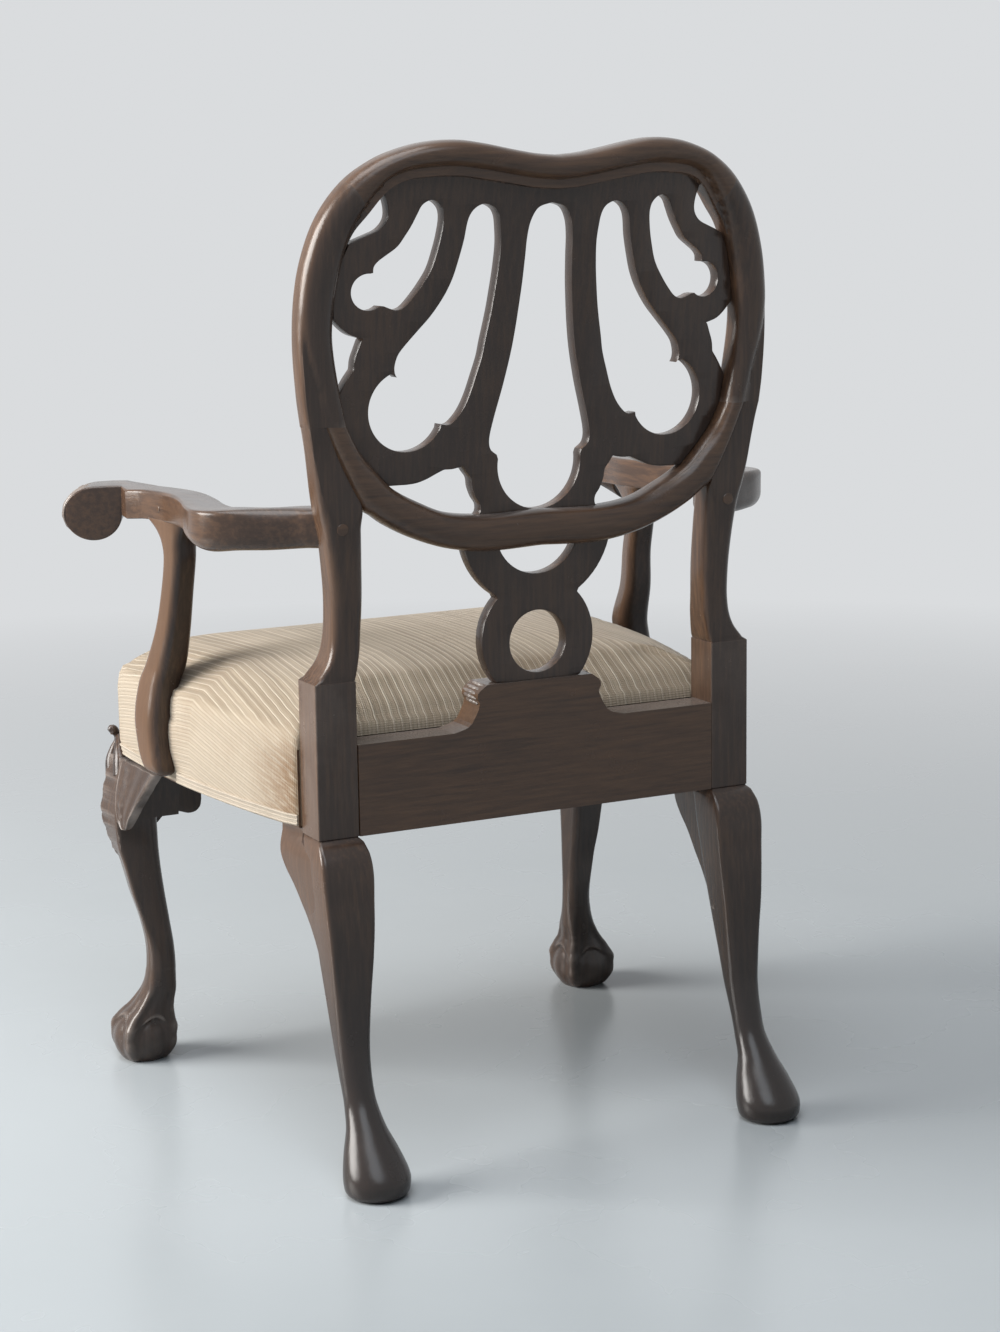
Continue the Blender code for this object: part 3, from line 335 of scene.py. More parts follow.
def wood(name, axis, wear_and_glint=None, bloom=0.0, lit_sides=0.38, shaded_back=0.5, tones=TONES, walls=0.0, darker_low=0.0):
    """Polished mahogany with its grain along an axis.

    wear_and_glint: pointiness of edges painted pale, for wear and for painted glints;
    lit_sides: painted light on its sides; walls: painted shade on its sides;
    shaded_back: painted shade behind; bloom: darkening elsewhere; darker_low: darker near the floor.
    """
    material, tree, shader = start(f"mahogany_{name}_{axis}")
    shader.inputs["Specular IOR Level"].default_value = POLISH
    spot = coordinates(tree)
    fibres = scaled(spot, GRAIN[axis])
    grain = noise(fibres, 3.2, 7.0, 0.62)
    pores = noise(fibres, 17.0, 2.0, 0.5)
    figure = noise(scaled(spot, FIGURE[axis]), 1.0, 3.0)
    smudge = noise(spot, 26.0, 4.0, 0.6)
    tone = calc("ADD", times(grain, 0.62), times(figure, 0.38))
    sideways, behind, above = split(coordinates(tree, "Normal"))
    sideways = calc("ABSOLUTE", sideways)
    across, _, level = split(spot)
    # Painted light: the sides' lit colour in full on the +X side of the chair, towards the key light, and a fifth of
    # it on the -X side
    left_lit = rise(across, -0.16, 0.12, 0.2, 1.0)
    layers = [
        (rise(tone, *tones[:2]), MID_WOOD),
        (rise(tone, *tones[2:]), WARM_WOOD),
        (rise(pores, 0.60, 0.72, 0.0, 0.25), DARK_WOOD),
        # Painted light: sides facing ±X painted warmer and lighter, as lit
        (times(rise(sideways, 0.5, 0.95, 0.0, lit_sides), left_lit), WARM_WOOD),
        # Painted shade on sides facing ±X
        (rise(sideways, 0.5, 0.95, 0.0, walls), BACK_WOOD),
        # Painted shade on faces turned to the back, over a darkening elsewhere
        (rise(behind, 0.3, 0.9, bloom, max(bloom, shaded_back)), BACK_WOOD),
        # Painted reflection: upward faces greyed as if they reflected the room
        (rise(above, 0.80, 0.98, 0.0, 0.28), TOP_SHEEN_WOOD),
        # Darker towards the floor
        (rise(level, 0.27, 0.11, 0.0, darker_low), BACK_WOOD),
    ]
    if wear_and_glint:
        edge = node(tree, "NewGeometry").outputs["Pointiness"]
        patchy = rise(smudge, 0.34, 0.62, 0.15, 0.75)
        # Edges painted pale for wear and as a painted glint; hollows painted dark as shade
        layers += [(times(rise(edge, *wear_and_glint), patchy), WEAR_GLINT_WOOD),
                   (rise(edge, 0.47, 0.40, 0.0, 0.7), DARK_WOOD)]
    paint(shader, DARK_WOOD, layers)
    tree.links.new(rise(smudge, 0.3, 0.7, 0.19, 0.28), shader.inputs["Roughness"])
    bump(shader, calc("SUBTRACT", grain, times(pores, 0.5)), 0.0004, 0.35)
    return material


POST_WOOD = wood("wear_and_glint", "z", EDGE_WEAR_GLINT, darker_low=0.90)
PLAIN_WOOD = {axis: wood("plain", axis, shaded_back=0.10, tones=EVEN_TONES) for axis in "xy"}
# Painted shade on the piercings' walls and the back; also the finish of the knee tongue and brackets
SPLAT_WOOD = wood("splat", "z", lit_sides=0.0, shaded_back=0.62, walls=0.75)
ARM_WOOD = wood("arm", "y", EDGE_WEAR_GLINT, lit_sides=0.18)
# Painted light: the support's sides painted lighter, as lit
SUPPORT_WOOD = wood("support", "z", EDGE_WEAR_GLINT, lit_sides=0.75)
CARVED_WOOD = wood("carved", "z", CARVING_WEAR_GLINT, 0.45, 0.20, 0.7)

PITCH = 0.0072
RIB = (0.405, 0.325, 0.235)
RIB_DARK = (0.285, 0.220, 0.150)
PALE_LINE = (0.640, 0.560, 0.445)
# Painted light: the lighter cloth of the cover's walls, as lit from the side
LIT_WALL_CLOTH = (0.470, 0.390, 0.295)
STAIN = (0.215, 0.122, 0.055)


def ribbed_cloth():
    """Cream cloth with pale lines at an even pitch, finer lines between and old stains; its walls are painted lighter
    as painted light.
    """
    material, tree, shader = start("ribbed_cloth", roughness=0.85, sheen_weight=0.25, sheen_roughness=0.5)
    across, along, _ = split(node(tree, "UVMap").outputs[0])
    spot = coordinates(tree)
    waver = times(calc("SUBTRACT", noise(spot, 30.0, 2.0), 0.5), 0.0016)
    lane = calc("DIVIDE", calc("ADD", across, waver), PITCH)
    picked = node(tree, "TexWhiteNoise", {"W": calc("FLOOR", lane)}, noise_dimensions="1D").outputs["Value"]
    line = times(rise(zigzag(lane), 0.30, 0.06), rise(picked, 0.0, 0.8, 0.5, 1.0))
    fine = rise(zigzag(times(lane, 2.0)), 0.45, 0.1)
    weft = node(tree, "TexWave", {"Vector": joined(along, times(across, 0.05)), "Scale": 130.0,
                                  "Distortion": 1.2, "Detail": 1.0}).outputs["Fac"]
    lanes = noise(joined(across, times(along, 0.02)), 210.0, 1.0)
    cloud = noise(spot, 9.0, 4.0, 0.6)
    crown = rise(split(coordinates(tree, "Normal"))[2], 0.25, 0.75)
    x, y, z = split(spot)
    corner = times(rise(calc("ABSOLUTE", x), 0.225, 0.240), rise(y, 0.055, 0.122))
    damp = times(corner, rise(z, 0.440, 0.395))
    streaks = joined(times(across, 260.0), times(along, 45.0))
    blot = rise(noise(streaks, 1.0, 4.0, 0.6), 0.30, 0.55)
    paint(shader, RIB_DARK, [
        (rise(lanes, 0.35, 0.65), RIB),
        # Painted light: walls painted a lighter cloth than the top, and the lines paler on top and darker on the
        # walls as the light catches them
        (rise(crown, 1.0, 0.0, 0.0, 0.75), LIT_WALL_CLOTH),
        (times(fine, rise(crown, 0.0, 1.0, 0.55, 0.10)), RIB_DARK),
        (times(line, rise(crown, 0.0, 1.0, 0.50, 0.90)), PALE_LINE),
        (times(weft, 0.09), RIB_DARK),
        (rise(cloud, 0.52, 0.78, 0.0, 0.30), STAIN),
        (times(damp, times(blot, 0.9)), STAIN),
    ])
    threads = calc("ADD", times(fine, 0.4), times(weft, 0.35))
    bump(shader, calc("ADD", line, threads), 0.0009, 0.7)
    return material


# Distance at which a wave texture of scale 1 repeats
WAVE = 0.314


def woven(name, colour, shade, pitch):
    """A plain weave of two threads, in the piece's own UV metres."""
    material, tree, shader = start(name, roughness=0.9, sheen_weight=0.15)
    weave = {"Vector": node(tree, "UVMap").outputs[0], "Scale": 1.0 / pitch * WAVE, "Distortion": 0.6,
             "Detail": 2.0, "Detail Scale": 3.0}
    threads = calc("MAXIMUM", *(node(tree, "TexWave", weave, bands_direction=direction).outputs["Fac"]
                                for direction in "XY"))
    dust = noise(coordinates(tree), 24.0, 4.0, 0.6)
    paint(shader, shade, [(rise(threads, 0.25, 0.9), colour), (rise(dust, 0.42, 0.75, 0.0, 0.4), shade)])
    bump(shader, threads, 0.0006, 0.8)
    return material


def steel():
    material, tree, shader = start("steel", metallic=1.0)
    marks = noise(coordinates(tree), 420.0, 3.0)
    paint(shader, (0.36, 0.35, 0.33), [(marks, (0.52, 0.51, 0.49))])
    tree.links.new(rise(marks, 0.3, 0.7, 0.3, 0.5), shader.inputs["Roughness"])
    bump(shader, marks, 0.0001, 0.4)
    return material


CLOTH = ribbed_cloth()
BRAID = woven("braid", (0.53, 0.455, 0.365), (0.33, 0.275, 0.210), 0.0022)
JUTE = woven("jute", (0.40, 0.29, 0.17), (0.20, 0.135, 0.075), 0.0024)
DUST = woven("dust_cloth", (0.030, 0.029, 0.028), (0.010, 0.010, 0.010), 0.0016)
STEEL = steel()


# Back of the chair

RAKE_FROM = 500
SIDE_RAKE = 0.05e-3
MIDDLE_RAKE = 0.17e-3
BACK_HALF = 250


def back_y(x, z):
    """How far the back leans, more in its middle than at its sides."""
    lift = max(z - RAKE_FROM, 0)
    return lift ** 2 * (SIDE_RAKE + MIDDLE_RAKE * (1 - (x / BACK_HALF) ** 2))


# Squareness of a leg's section, and the share of its half size that rounds the corners
CORNERS = ((2, 1), (2.5, 0.85), (3, 0.72), (4, 0.55), (5, 0.45), (6, 0.38), (8, 0.26))


def corner_of(power):
    return at(CORNERS, power)[0]


REAR_LEG = (
    # z, x from the post's axis, y, half width, squareness
    (0, 2, 73.5, 25, 2), (3, 2, 73.7, 29.5, 2), (8, 2, 74, 31.8, 2), (20, 1.7, 72.3, 32.5, 2), (40, 1.8, 62.3, 27, 2),
    (60, 1.9, 50.8, 19.6, 2), (80, 1.6, 37.8, 16, 2), (100, 1.9, 29.6, 15.5, 2.2), (130, 1.5, 20.2, 16.4, 2.6),
    (160, 1.3, 15, 18, 3), (190, 0.9, 10.4, 20, 3.5), (220, 0.5, 7, 22.3, 4), (250, 0, 3, 24.5, 4),
    (275, 0, -1, 26, 4), (300, 0, -4.5, 27, 4.5), (318, 0, -9.5, 26, 5), (329, 0, -17, 23.5, 6),
)
POST_X = 218.5
STILE = (
    # x and z of the inner and the outer edge, middle y, half depth
    (195, 489, 236, 487.5, -20.8, 20.6), (192.5, 502, 225, 502, -19.5, 19.5), (189.5, 520, 220, 520, -18, 18.5),
    (187.2, 560, 219, 560, -15, 18), (187.5, 600, 222.5, 600, -12, 17.5), (188.5, 630, 227, 630, -9, 17.5),
    (190.3, 650, 232, 650, -6.5, 17.5), (212.3, 695, 240, 697, -1.2, 17.5), (226.3, 729, 246, 729, 2.8, 17.5),
)
HOOP_SIDE = (
    (205, 729, 246, 729.6), (211.5, 762, 249.5, 757), (217.5, 810, 252.3, 806), (215, 845, 250.5, 848),
    (208, 880, 244, 885), (198, 905, 230, 922), (185, 922, 207, 953),
)
CREST = (
    (184.7, 922.3, 206.7, 953.3), (167, 944, 178, 973.5), (150, 953, 152, 983.5), (125, 956, 128, 988.5),
    (100, 956, 103, 989.6), (75, 952.5, 78, 986.5), (50, 948.5, 50, 981), (25, 944.5, 24, 976.5),
    (0, 942.5, 0, 974.5),
)
HOOP_RAIL = (
    (205, 729.4, 229, 729.4), (198, 714.5, 209.3, 686), (190, 702, 189.6, 650), (180, 690, 179, 642.5),
    (160, 669, 165, 632.5), (130, 652, 138, 618.5), (100, 640, 103, 606), (60, 635.5, 60, 599.5), (0, 637, 0, 601),
)
HOOP_DEPTH = 17.5
HOOP_PITCH = 5
HOOP_FORWARD = 1.5
LAP = 0.6
LAP_RUN = 40
ROUND = 0.62
FLAT = 0.62
BEAD_POWER = 2.3
NO_BEAD = (-9, -8)


def hoop_section(inner, outer, y, half, bead, corners):
    """A convex bead behind between two shares of the width, with flats inside and outside it."""
    x = (inner[0] + outer[0]) / 2
    z = (inner[1] + outer[1]) / 2
    dx = (outer[0] - inner[0]) / 2
    dz = (outer[1] - inner[1]) / 2
    low, high, inside, outside = bead
    points = []
    for a, b in rounded(corners):
        if b > 0:
            t = (2 * a - low - high) / (high - low)
            crown = max(1 - abs(t) ** BEAD_POWER, 0) ** (1 / BEAD_POWER)
            b = max(crown, min(b, inside if t < 0 else outside))
        points.append((x + a * dx, y + b * half, z + a * dz))
    return points


def middles(rows):
    return lengths([((r[0] + r[2]) / 2, (r[1] + r[3]) / 2) for r in rows])


def hoop_run(rows, places, start_at, end_at, section, lap=0):
    """Rings along a stretch of the hoop; section gives the bead and the corners at a length along it."""
    spots = steps(start_at, end_at, HOOP_PITCH)
    rings = []
    for spot, (x0, z0, x1, z1) in zip(spots, spline(rows, places, spots)):
        y = back_y((x0 + x1) / 2, (z0 + z1) / 2) - HOOP_FORWARD - lap * step(LAP_RUN, 0, spot)
        rings.append(hoop_section((x0, z0), (x1, z1), y, HOOP_DEPTH, *section(spot)))
    return rings


upper_rows = HOOP_SIDE + CREST[1:]
upper_places = middles(upper_rows)
JOINT = upper_places[len(HOOP_SIDE) - 1]


def upper_section(spot):
    """The bead widens over the stile's end, and leaves a band inside it along the crest."""
    wide = step(0, 110, spot)
    band = mix(-1, -0.42, step(JOINT - 70, JOINT + 50, spot))
    crisp = mix(ROUND, 0.14, step(120, 260, spot))
    return (band, mix(0.15, 1, wide), 0.30, FLAT), (mix(0.76, 1, wide), 1, crisp, mix(0.70, ROUND, wide))


def rail_section(spot):
    """A full bead, level with the stile's flat where the rail lies along it."""
    return (-1, 1, 0, mix(FLAT - 0.06, 0, step(50, 100, spot))), (1, 1, ROUND, ROUND)


def level_ring(x, y, z, half_x, half_y, corner, turn=0, count=12):
    c = cos(turn)
    s = sin(turn)
    return [(x + u * half_x * c - v * half_y * s, y + u * half_x * s + v * half_y * c, z)
            for u, v in rounded(corner, count)]


LEG_TOP = 329
BLOCK_Y = -21
BLOCK_HALF = (21.5, 21)
BLOCK = ((332.4, 1, 0.14), (333.5, 0, 0.10), (484.2, 0, 0.10), (485, 0.7, 0.12))  # z, inset, corner
BLOCK_FRONT = -43.6
BLOCK_SIDE = 239.8
STILE_FOOT = (490, 540)


def post_rings():
    """A rear post: leg, square block, stile, and the hoop's side up to the crest."""
    rings = []
    heights = [0, 1.5, 3, 5.5] + steps(8, LEG_TOP, 5)
    for z, (x, y, half, power) in zip(heights, trace(REAR_LEG, heights)):
        corner = corner_of(power)
        crisp = corner * mix(1, 0.42, step(110, 230, z))
        rings.append(level_ring(POST_X + x, y, z, half, half, (crisp, crisp, corner, corner)))
    for z, inset, corner in BLOCK:
        rings.append(level_ring(POST_X, BLOCK_Y, z, BLOCK_HALF[0] - inset, BLOCK_HALF[1] - inset, corner))
    places = middles(STILE)
    for x0, z0, x1, z1, y, half in spline(STILE, places, steps(0, places[-1], 4)):
        z = (z0 + z1) / 2
        shaped = step(*STILE_FOOT, z)
        inner = mix(0.30, mix(0.02, ROUND, step(662, 628, z)), shaped)
        outer = mix(0.30, mix(ROUND, 0.98, step(660, 725, z)), shaped)
        level = mix(1, FLAT, step(625, 715, z))
        corners = (outer, inner, inner, outer)
        rings.append(hoop_section((x0, z0), (x1, z1), y, half, (*NO_BEAD, level, level), corners))
    rings += hoop_run(upper_rows, upper_places, 0, JOINT, upper_section)
    inside = hoop_run(upper_rows, upper_places, JOINT + 0.6, JOINT + 6, upper_section)
    for ring, share in ((inside[0], 0.97), (inside[-1], 0.90)):
        middle = [sum(axis) / len(ring) for axis in zip(*ring)]
        rings.append([tuple(mix(m, c, share) for m, c in zip(middle, point)) for point in ring])
    return rings


EAR = (
    # z, nose in Y
    (206, -10.5), (225, -17), (245, -25.5), (264, -39), (281, -53), (294, -67), (307, -77), (320, -80), (337.4, -80),
)
EAR_INNER = 197
EAR_FLARE = 0.11


def ear_rings():
    """The ear on a rear leg, flush with the leg's side and run out down its front."""
    heights = steps(EAR[0][0], EAR[-1][0], 4)
    leg = trace(REAR_LEG, [min(z, LEG_TOP) for z in heights])
    rings = []
    for z, (nose,), (x, y, half, _) in zip(heights, trace(EAR, heights), leg):
        tail = mix(y + 4, -39.5, step(312, 330, z))
        flare_from = mix(-30, BLOCK_FRONT, step(308, 326, z))
        ring = []
        for u, v in rounded(mix(1, 0.16, step(206, 262, z))):
            py = mix(nose, tail, (v + 1) / 2)
            outer = POST_X + x + half - 0.15 + EAR_FLARE * max(flare_from - py, 0)
            if py > BLOCK_FRONT and z > 326:
                outer = min(outer, BLOCK_SIDE)
            ring.append((mix(EAR_INNER, outer, (u + 1) / 2), py, z))
        rings.append(ring)
    return rings


HALVED_BY = 2.7
HALVING = 82.3
NECK_HALF = 65.5


def halved(ring):
    """Keep the lower hoop rail behind the splat where the two are halved together."""
    points = []
    for x, y, z in ring:
        if abs(x) < mix(HALVING, NECK_HALF, step(624, 634, z)):
            y = max(y, back_y(x, z) - HALVED_BY)
        points.append((x, y, z))
    return points


pair("post", post_rings(), POST_WOOD, "rear_post", 32)
pair("rear_ear", ear_rings(), POST_WOOD, "rear_bracket", 32)
half_crest = hoop_run(upper_rows, upper_places, JOINT, upper_places[-1], upper_section)
loft("crest", half_crest + mirrored(half_crest[-2::-1]), PLAIN_WOOD["x"], ["crest_rail"], 32, False)
rail_places = middles(HOOP_RAIL)
half_rail = hoop_run(HOOP_RAIL, rail_places, 0, rail_places[-1], rail_section, LAP)
half_rail = [halved(ring) for ring in half_rail]
loft("lower_hoop", half_rail + mirrored(half_rail[-2::-1]), PLAIN_WOOD["x"], ["hoop_rail"], 32, False)

# The round plug over each arm's screw, just proud of the stile
PLUG = (211, 632)
PLUG_STEPS = ((-2, 5.9), (8.9, 5.9), (9.3, 5.4), (9.4, 4))  # y, radius
pair("plug", [[(PLUG[0] + radius * cos(t), y, PLUG[1] + radius * sin(t)) for t in turns(28)]
              for y, radius in PLUG_STEPS], PLAIN_WOOD["x"], "arm_plug", 30)

# Splat: outline and piercings in X and Z

UPPER_LOBE = ((0, 681.5), 45)
MIDDLE_LOBE = ((141, 739.5), 39)
SHOULDER_LOBE = ((180.5, 852), 17)
NECK_LOBE = ((0, 622), 82)
RING_OUTER = ((0, 508), 61.5)
CRESCENT = ((0, 618), 45.5)
SHOE_TOP = 467

centre_opening = both_sides(
    smooth([(0, 930.5), (14, 926), (21, 915), (24, 900), (25, 880), (27, 850), (33, 800),
            (41, 762), (50.5, 727), (54.5, 708), (53, 698), (46, 692)])
    + list(reversed(arc(*UPPER_LOBE, -90, 8))))
outer_opening = (
    smooth([(106, 725), (98, 724), (92.5, 727), (84, 737), (77, 751), (71, 769),
            (65.5, 787), (63, 801), (57.5, 830), (54.5, 852), (52.5, 870), (51.3, 892), (52.5, 907),
            (55, 920), (60, 927), (70.5, 930.5), (80, 926), (85.5, 917), (89, 897), (94, 877),
            (99, 861), (107, 845), (119, 828), (132, 814), (145, 800), (151, 792),
            (154, 782), (153.5, 775), (151.5, 771.5)])
    + arc(*MIDDLE_LOBE, 68, -152))
shoulder_opening = (
    smooth([(176.5, 869.5), (176, 875), (172, 880), (165, 885), (154, 893), (147, 902.5),
            (141, 912), (136, 922), (131, 931), (122, 935), (113, 929), (110, 920),
            (111.3, 905), (114.5, 890), (120, 872), (129, 857), (139, 844), (146, 837),
            (153, 834.5), (158, 835.5), (165.5, 838.5)])
    + arc(*SHOULDER_LOBE, -130, 95))
crescent = both_sides(smooth([(0, 601.5), (20, 603.5), (38, 610)]) + arc(*CRESCENT, -14, -90))
ring_hole = arc((0, 505), 31, 0, 355)
outer_edge = (
    [(0, 950), (150, 961), (167, 952)]
    + smooth([(168, 942), (164.5, 932), (163.5, 922), (166, 915), (172, 909), (182, 904.5),
              (193, 900), (200, 896.5)])
    + [(207.7, 880), (214.7, 845)]
    + smooth([(214.5, 828), (206, 819), (198, 813), (186, 809)])
    + smooth([(187, 808), (190, 800), (193.5, 790), (194.5, 781)])
    + smooth([(195, 780), (200, 773), (205.5, 764), (209, 757)])
    + [(204.2, 729), (197.4, 714.5), (189.4, 702), (179.4, 690), (159.4, 669)]
    + smooth([(148, 669), (140, 669), (130, 670), (120, 673), (110, 677.5), (103, 680.5)])
    + smooth([(101, 681), (93, 681), (82, 683)])
    + smooth([(78, 677), (73.5, 671), (72, 662), (68, 652), (63, 644), (64, 636),
              (78, 628)])
    + arc(*NECK_LOBE, 0, -56)
    + arc(*RING_OUTER, 44, -41)
    + [(44, SHOE_TOP), (44, SHOE_TOP - 15)])
BEVEL = 0.9


def board(outlines, front, rear, bevel=BEVEL):
    """A flat board with holes, standing in X and Z, its edges eased by a small bevel."""
    curve = bpy.data.curves.new("outline", "CURVE")
    curve.dimensions = "2D"
    curve.fill_mode = "BOTH"
    curve.extrude = (rear - front) / 2 - bevel
    curve.bevel_depth = bevel
    curve.bevel_resolution = 1
    curve.offset = -bevel
    for outline in outlines:
        line = curve.splines.new("POLY")
        line.points.add(len(outline) - 1)
        for point, (u, v) in zip(line.points, outline):
            point.co = (u, v, 0, 1)
        line.use_cyclic_u = True
    source = bpy.data.objects.new("outline", curve)
    SCENE.collection.objects.link(source)
    flat = bpy.data.meshes.new_from_object(source.evaluated_get(bpy.context.evaluated_depsgraph_get()))
    bpy.data.objects.remove(source)
    bm = bmesh.new()
    bm.from_mesh(flat)
    bpy.data.meshes.remove(flat)
    bpy.data.curves.remove(curve)
    bmesh.ops.remove_doubles(bm, verts=bm.verts, dist=0.01)
    for vert in bm.verts:
        u, v, w = vert.co
        vert.co = (u, (front + rear) / 2 - w, v)
    return bm


def bisect(bm, axis, places):
    normal = [0.0, 0.0, 0.0]
    normal[axis] = 1.0
    for spot in places:
        point = [spot * n for n in normal]
        bmesh.ops.bisect_plane(bm, geom=bm.verts[:] + bm.edges[:] + bm.faces[:], plane_co=point, plane_no=normal)


# The crest's lower edge, X and Z; the tongue's front leans back into the crest above it
CREST_EDGE = ((0, 942.5), (40, 946.7), (80, 952.8), (110, 956.3), (130, 955.6), (145, 953.9),
              (160, 947.9), (170, 941))
TONGUE_LINES = (942, 946, 950, 953.5)
TONGUE_LEAD = 2.5
TONGUE_RAKE = 22
TONGUE_HALF = 170
SPLAT_FRONT = -18
SPLAT_REAR = -3
SPLAT_MIDDLE = (SPLAT_FRONT + SPLAT_REAR) / 2
bm = board([both_sides(outer_edge), centre_opening, outer_opening, flipped(outer_opening), shoulder_opening,
            flipped(shoulder_opening), crescent, ring_hole], SPLAT_FRONT, SPLAT_REAR)
bisect(bm, 0, steps(-200, 200, 25))
bisect(bm, 2, steps(475, 950, 20))
bisect(bm, 2, TONGUE_LINES)
for vert in bm.verts:
    x, y, z = vert.co
    edge, = at(CREST_EDGE, min(abs(x), TONGUE_HALF))
    sunk = y < SPLAT_MIDDLE and abs(x) < TONGUE_HALF and z > edge - TONGUE_LEAD
    vert.co.y += back_y(x, z + TONGUE_RAKE * sunk)
place("pierced_splat", bm, SPLAT_WOOD, ["splat"], 30)

SHOE_END = ((59.5, 466.2), (64, 463), (67.4, 459.4), (68.3, 455.4), (66.8, 450.6))


def shoe_ear():
    """Flutes of a small carved leaf over the shoe's end."""
    strands = []
    for k, (x, z) in enumerate(SHOE_END):
        first = -33 + 2 * abs(k - 2)
        path = [(x + 0.5 * sin(i * 0.45), mix(first, -4, i / 14), z - 0.12 * i) for i in range(15)]
        radii = [0.5 + 1.7 * sin(pi * i / 14) ** 0.5 + 0.25 * sin(i * 1.7 + k) for i in range(15)]
        strands.append((path, radii, 8))
    return strands


carve("shoe_ear", shoe_ear(), CARVED_WOOD)

# Arms

ARM = (
    # x, y, half width, underside, top, corner above, corner below
    (208, -14, 15, 612, 649.5, 0.60, 0.60), (224.3, -41.5, 20, 611, 649.5, 0.62, 0.62),
    (256, -57, 14.5, 609, 649, 0.80, 0.80), (280, -78, 17.2, 608, 648, 0.42, 0.80),
    (293.6, -103, 21.8, 605, 646, 0.18, 0.85), (290.4, -140, 21, 607, 645, 0.17, 0.80),
    (280, -185, 19, 611.5, 645, 0.20, 0.70), (271, -235, 17.5, 612.5, 644.5, 0.24, 0.36),
    (268, -280, 17, 612.5, 643, 0.26, 0.10), (273.5, -325, 17.5, 611, 641.5, 0.26, 0.10),
    (279, -350, 22.5, 609, 640, 0.20, 0.12),
)
SCROLL = (310.1, -413.2, 610.5)
SCROLL_ALONG = Vector((0.8949, -0.4463, 0))
SCROLL_RADIUS = 30.4
SCROLL_RISE = 28
SCROLL_HALF = 25.5
SCROLL_FROM = 176
SCROLL_CORNER = 0.10
SCROLL_THIN = 0.06
ROOT_RINGS = 4


def arm_section(centre, across, half, low, high, above, below):
    """A ring across the arm, with its own corners above and below."""
    points = []
    for upper, lower in zip(rounded(above), rounded(below)):
        u, v = upper if upper[1] > 0 else lower
        z = (low + high) / 2 + v * (high - low) / 2
        points.append((centre[0] + across.x * u * half, centre[1] + across.y * u * half, z))
    return points


def undercut(point, centre, across, half, low):
    """Keep the roll's underside on its outer half and lift it to the arm's on the sitter's side."""
    x, y, z = point
    inward = 0.5 - ((x - centre[0]) * across.x + (y - centre[1]) * across.y) / (2 * half)
    return (x, y, z + max(low - z, 0) * step(0.12, 0.5, inward))


def arm_rings():
    """The arm from its root on the stile to the end of its scroll."""
    places = lengths([row[:2] for row in ARM])
    rows = spline(ARM, places, steps(0, places[-1], 5))
    rings = []
    for k, (x, y, *shape) in enumerate(rows):
        a = rows[max(k - 1, 0)]
        b = rows[min(k + 1, len(rows) - 1)]
        along = Vector((b[0] - a[0], b[1] - a[1])).normalized()
        across = Vector((-along.y, along.x))
        if k < ROOT_RINGS:
            across = Vector((1, 0)).lerp(across, k / ROOT_RINGS).normalized()
        rings.append(arm_section((x, y), across, *shape))
    low, high = rows[-1][3:5]
    rolled = Vector((-SCROLL_ALONG.y, SCROLL_ALONG.x))
    for degrees in range(SCROLL_FROM, -1, -4):
        t = radians(degrees)
        reach = SCROLL_RADIUS * cos(t)
        lift = SCROLL_RISE * max(sin(t), SCROLL_THIN)
        top = mix(high, SCROLL[2] + lift, step(120, 60, degrees))
        centre = (SCROLL[0] + SCROLL_ALONG.x * reach, SCROLL[1] + SCROLL_ALONG.y * reach)
        ring = arm_section(centre, rolled, SCROLL_HALF, min(low, SCROLL[2] - lift), top, SCROLL_CORNER, SCROLL_CORNER)
        rings.append([undercut(point, centre, rolled, SCROLL_HALF, low) for point in ring])
    return rings


def scroll_leaf():
    """Flutes of a carved leaf that laps the scroll's roll."""
    across = Vector((-SCROLL_ALONG.y, SCROLL_ALONG.x, 0))
    strands = []
    for k in range(6):
        u = mix(-0.95, 0.72, k / 5)
        first = mix(118, 96, abs(u))
        last = mix(-70, -30, max(-u, 0))
        path = []
        radii = []
        for i in range(25):
            t = radians(mix(first, last, i / 24))
            point = Vector(SCROLL) + across * u * (SCROLL_HALF - 3.2)
            point += SCROLL_ALONG * (SCROLL_RADIUS - 0.6) * cos(t)
            point += Vector((0, 0, 1)) * (SCROLL_RISE - 2.4) * sin(t)
            path.append(tuple(point))
            radii.append(mix(0.5, 4, sin(pi * i / 24) ** 0.7) + 0.35 * sin(i * 1.9 + k))
        strands.append((path, radii, 10))
    return strands


pair("arm_bar", arm_rings(), ARM_WOOD, "arm", 35)
carve("scroll_leaf", scroll_leaf(), CARVED_WOOD)

# The round pin that shows on each arm's side over its support
PIN = (285.4, -289, 624.5)
PIN_STEPS = ((-6, 3.2), (0.2, 3.2), (0.7, 2.7), (0.9, 1.6))  # x from the pin's place, radius
pair("arm_pin", [[(PIN[0] + out, PIN[1] + radius * cos(t), PIN[2] + radius * sin(t)) for t in turns(20)]
                 for out, radius in PIN_STEPS], POST_WOOD, angle=30)

# Arm supports

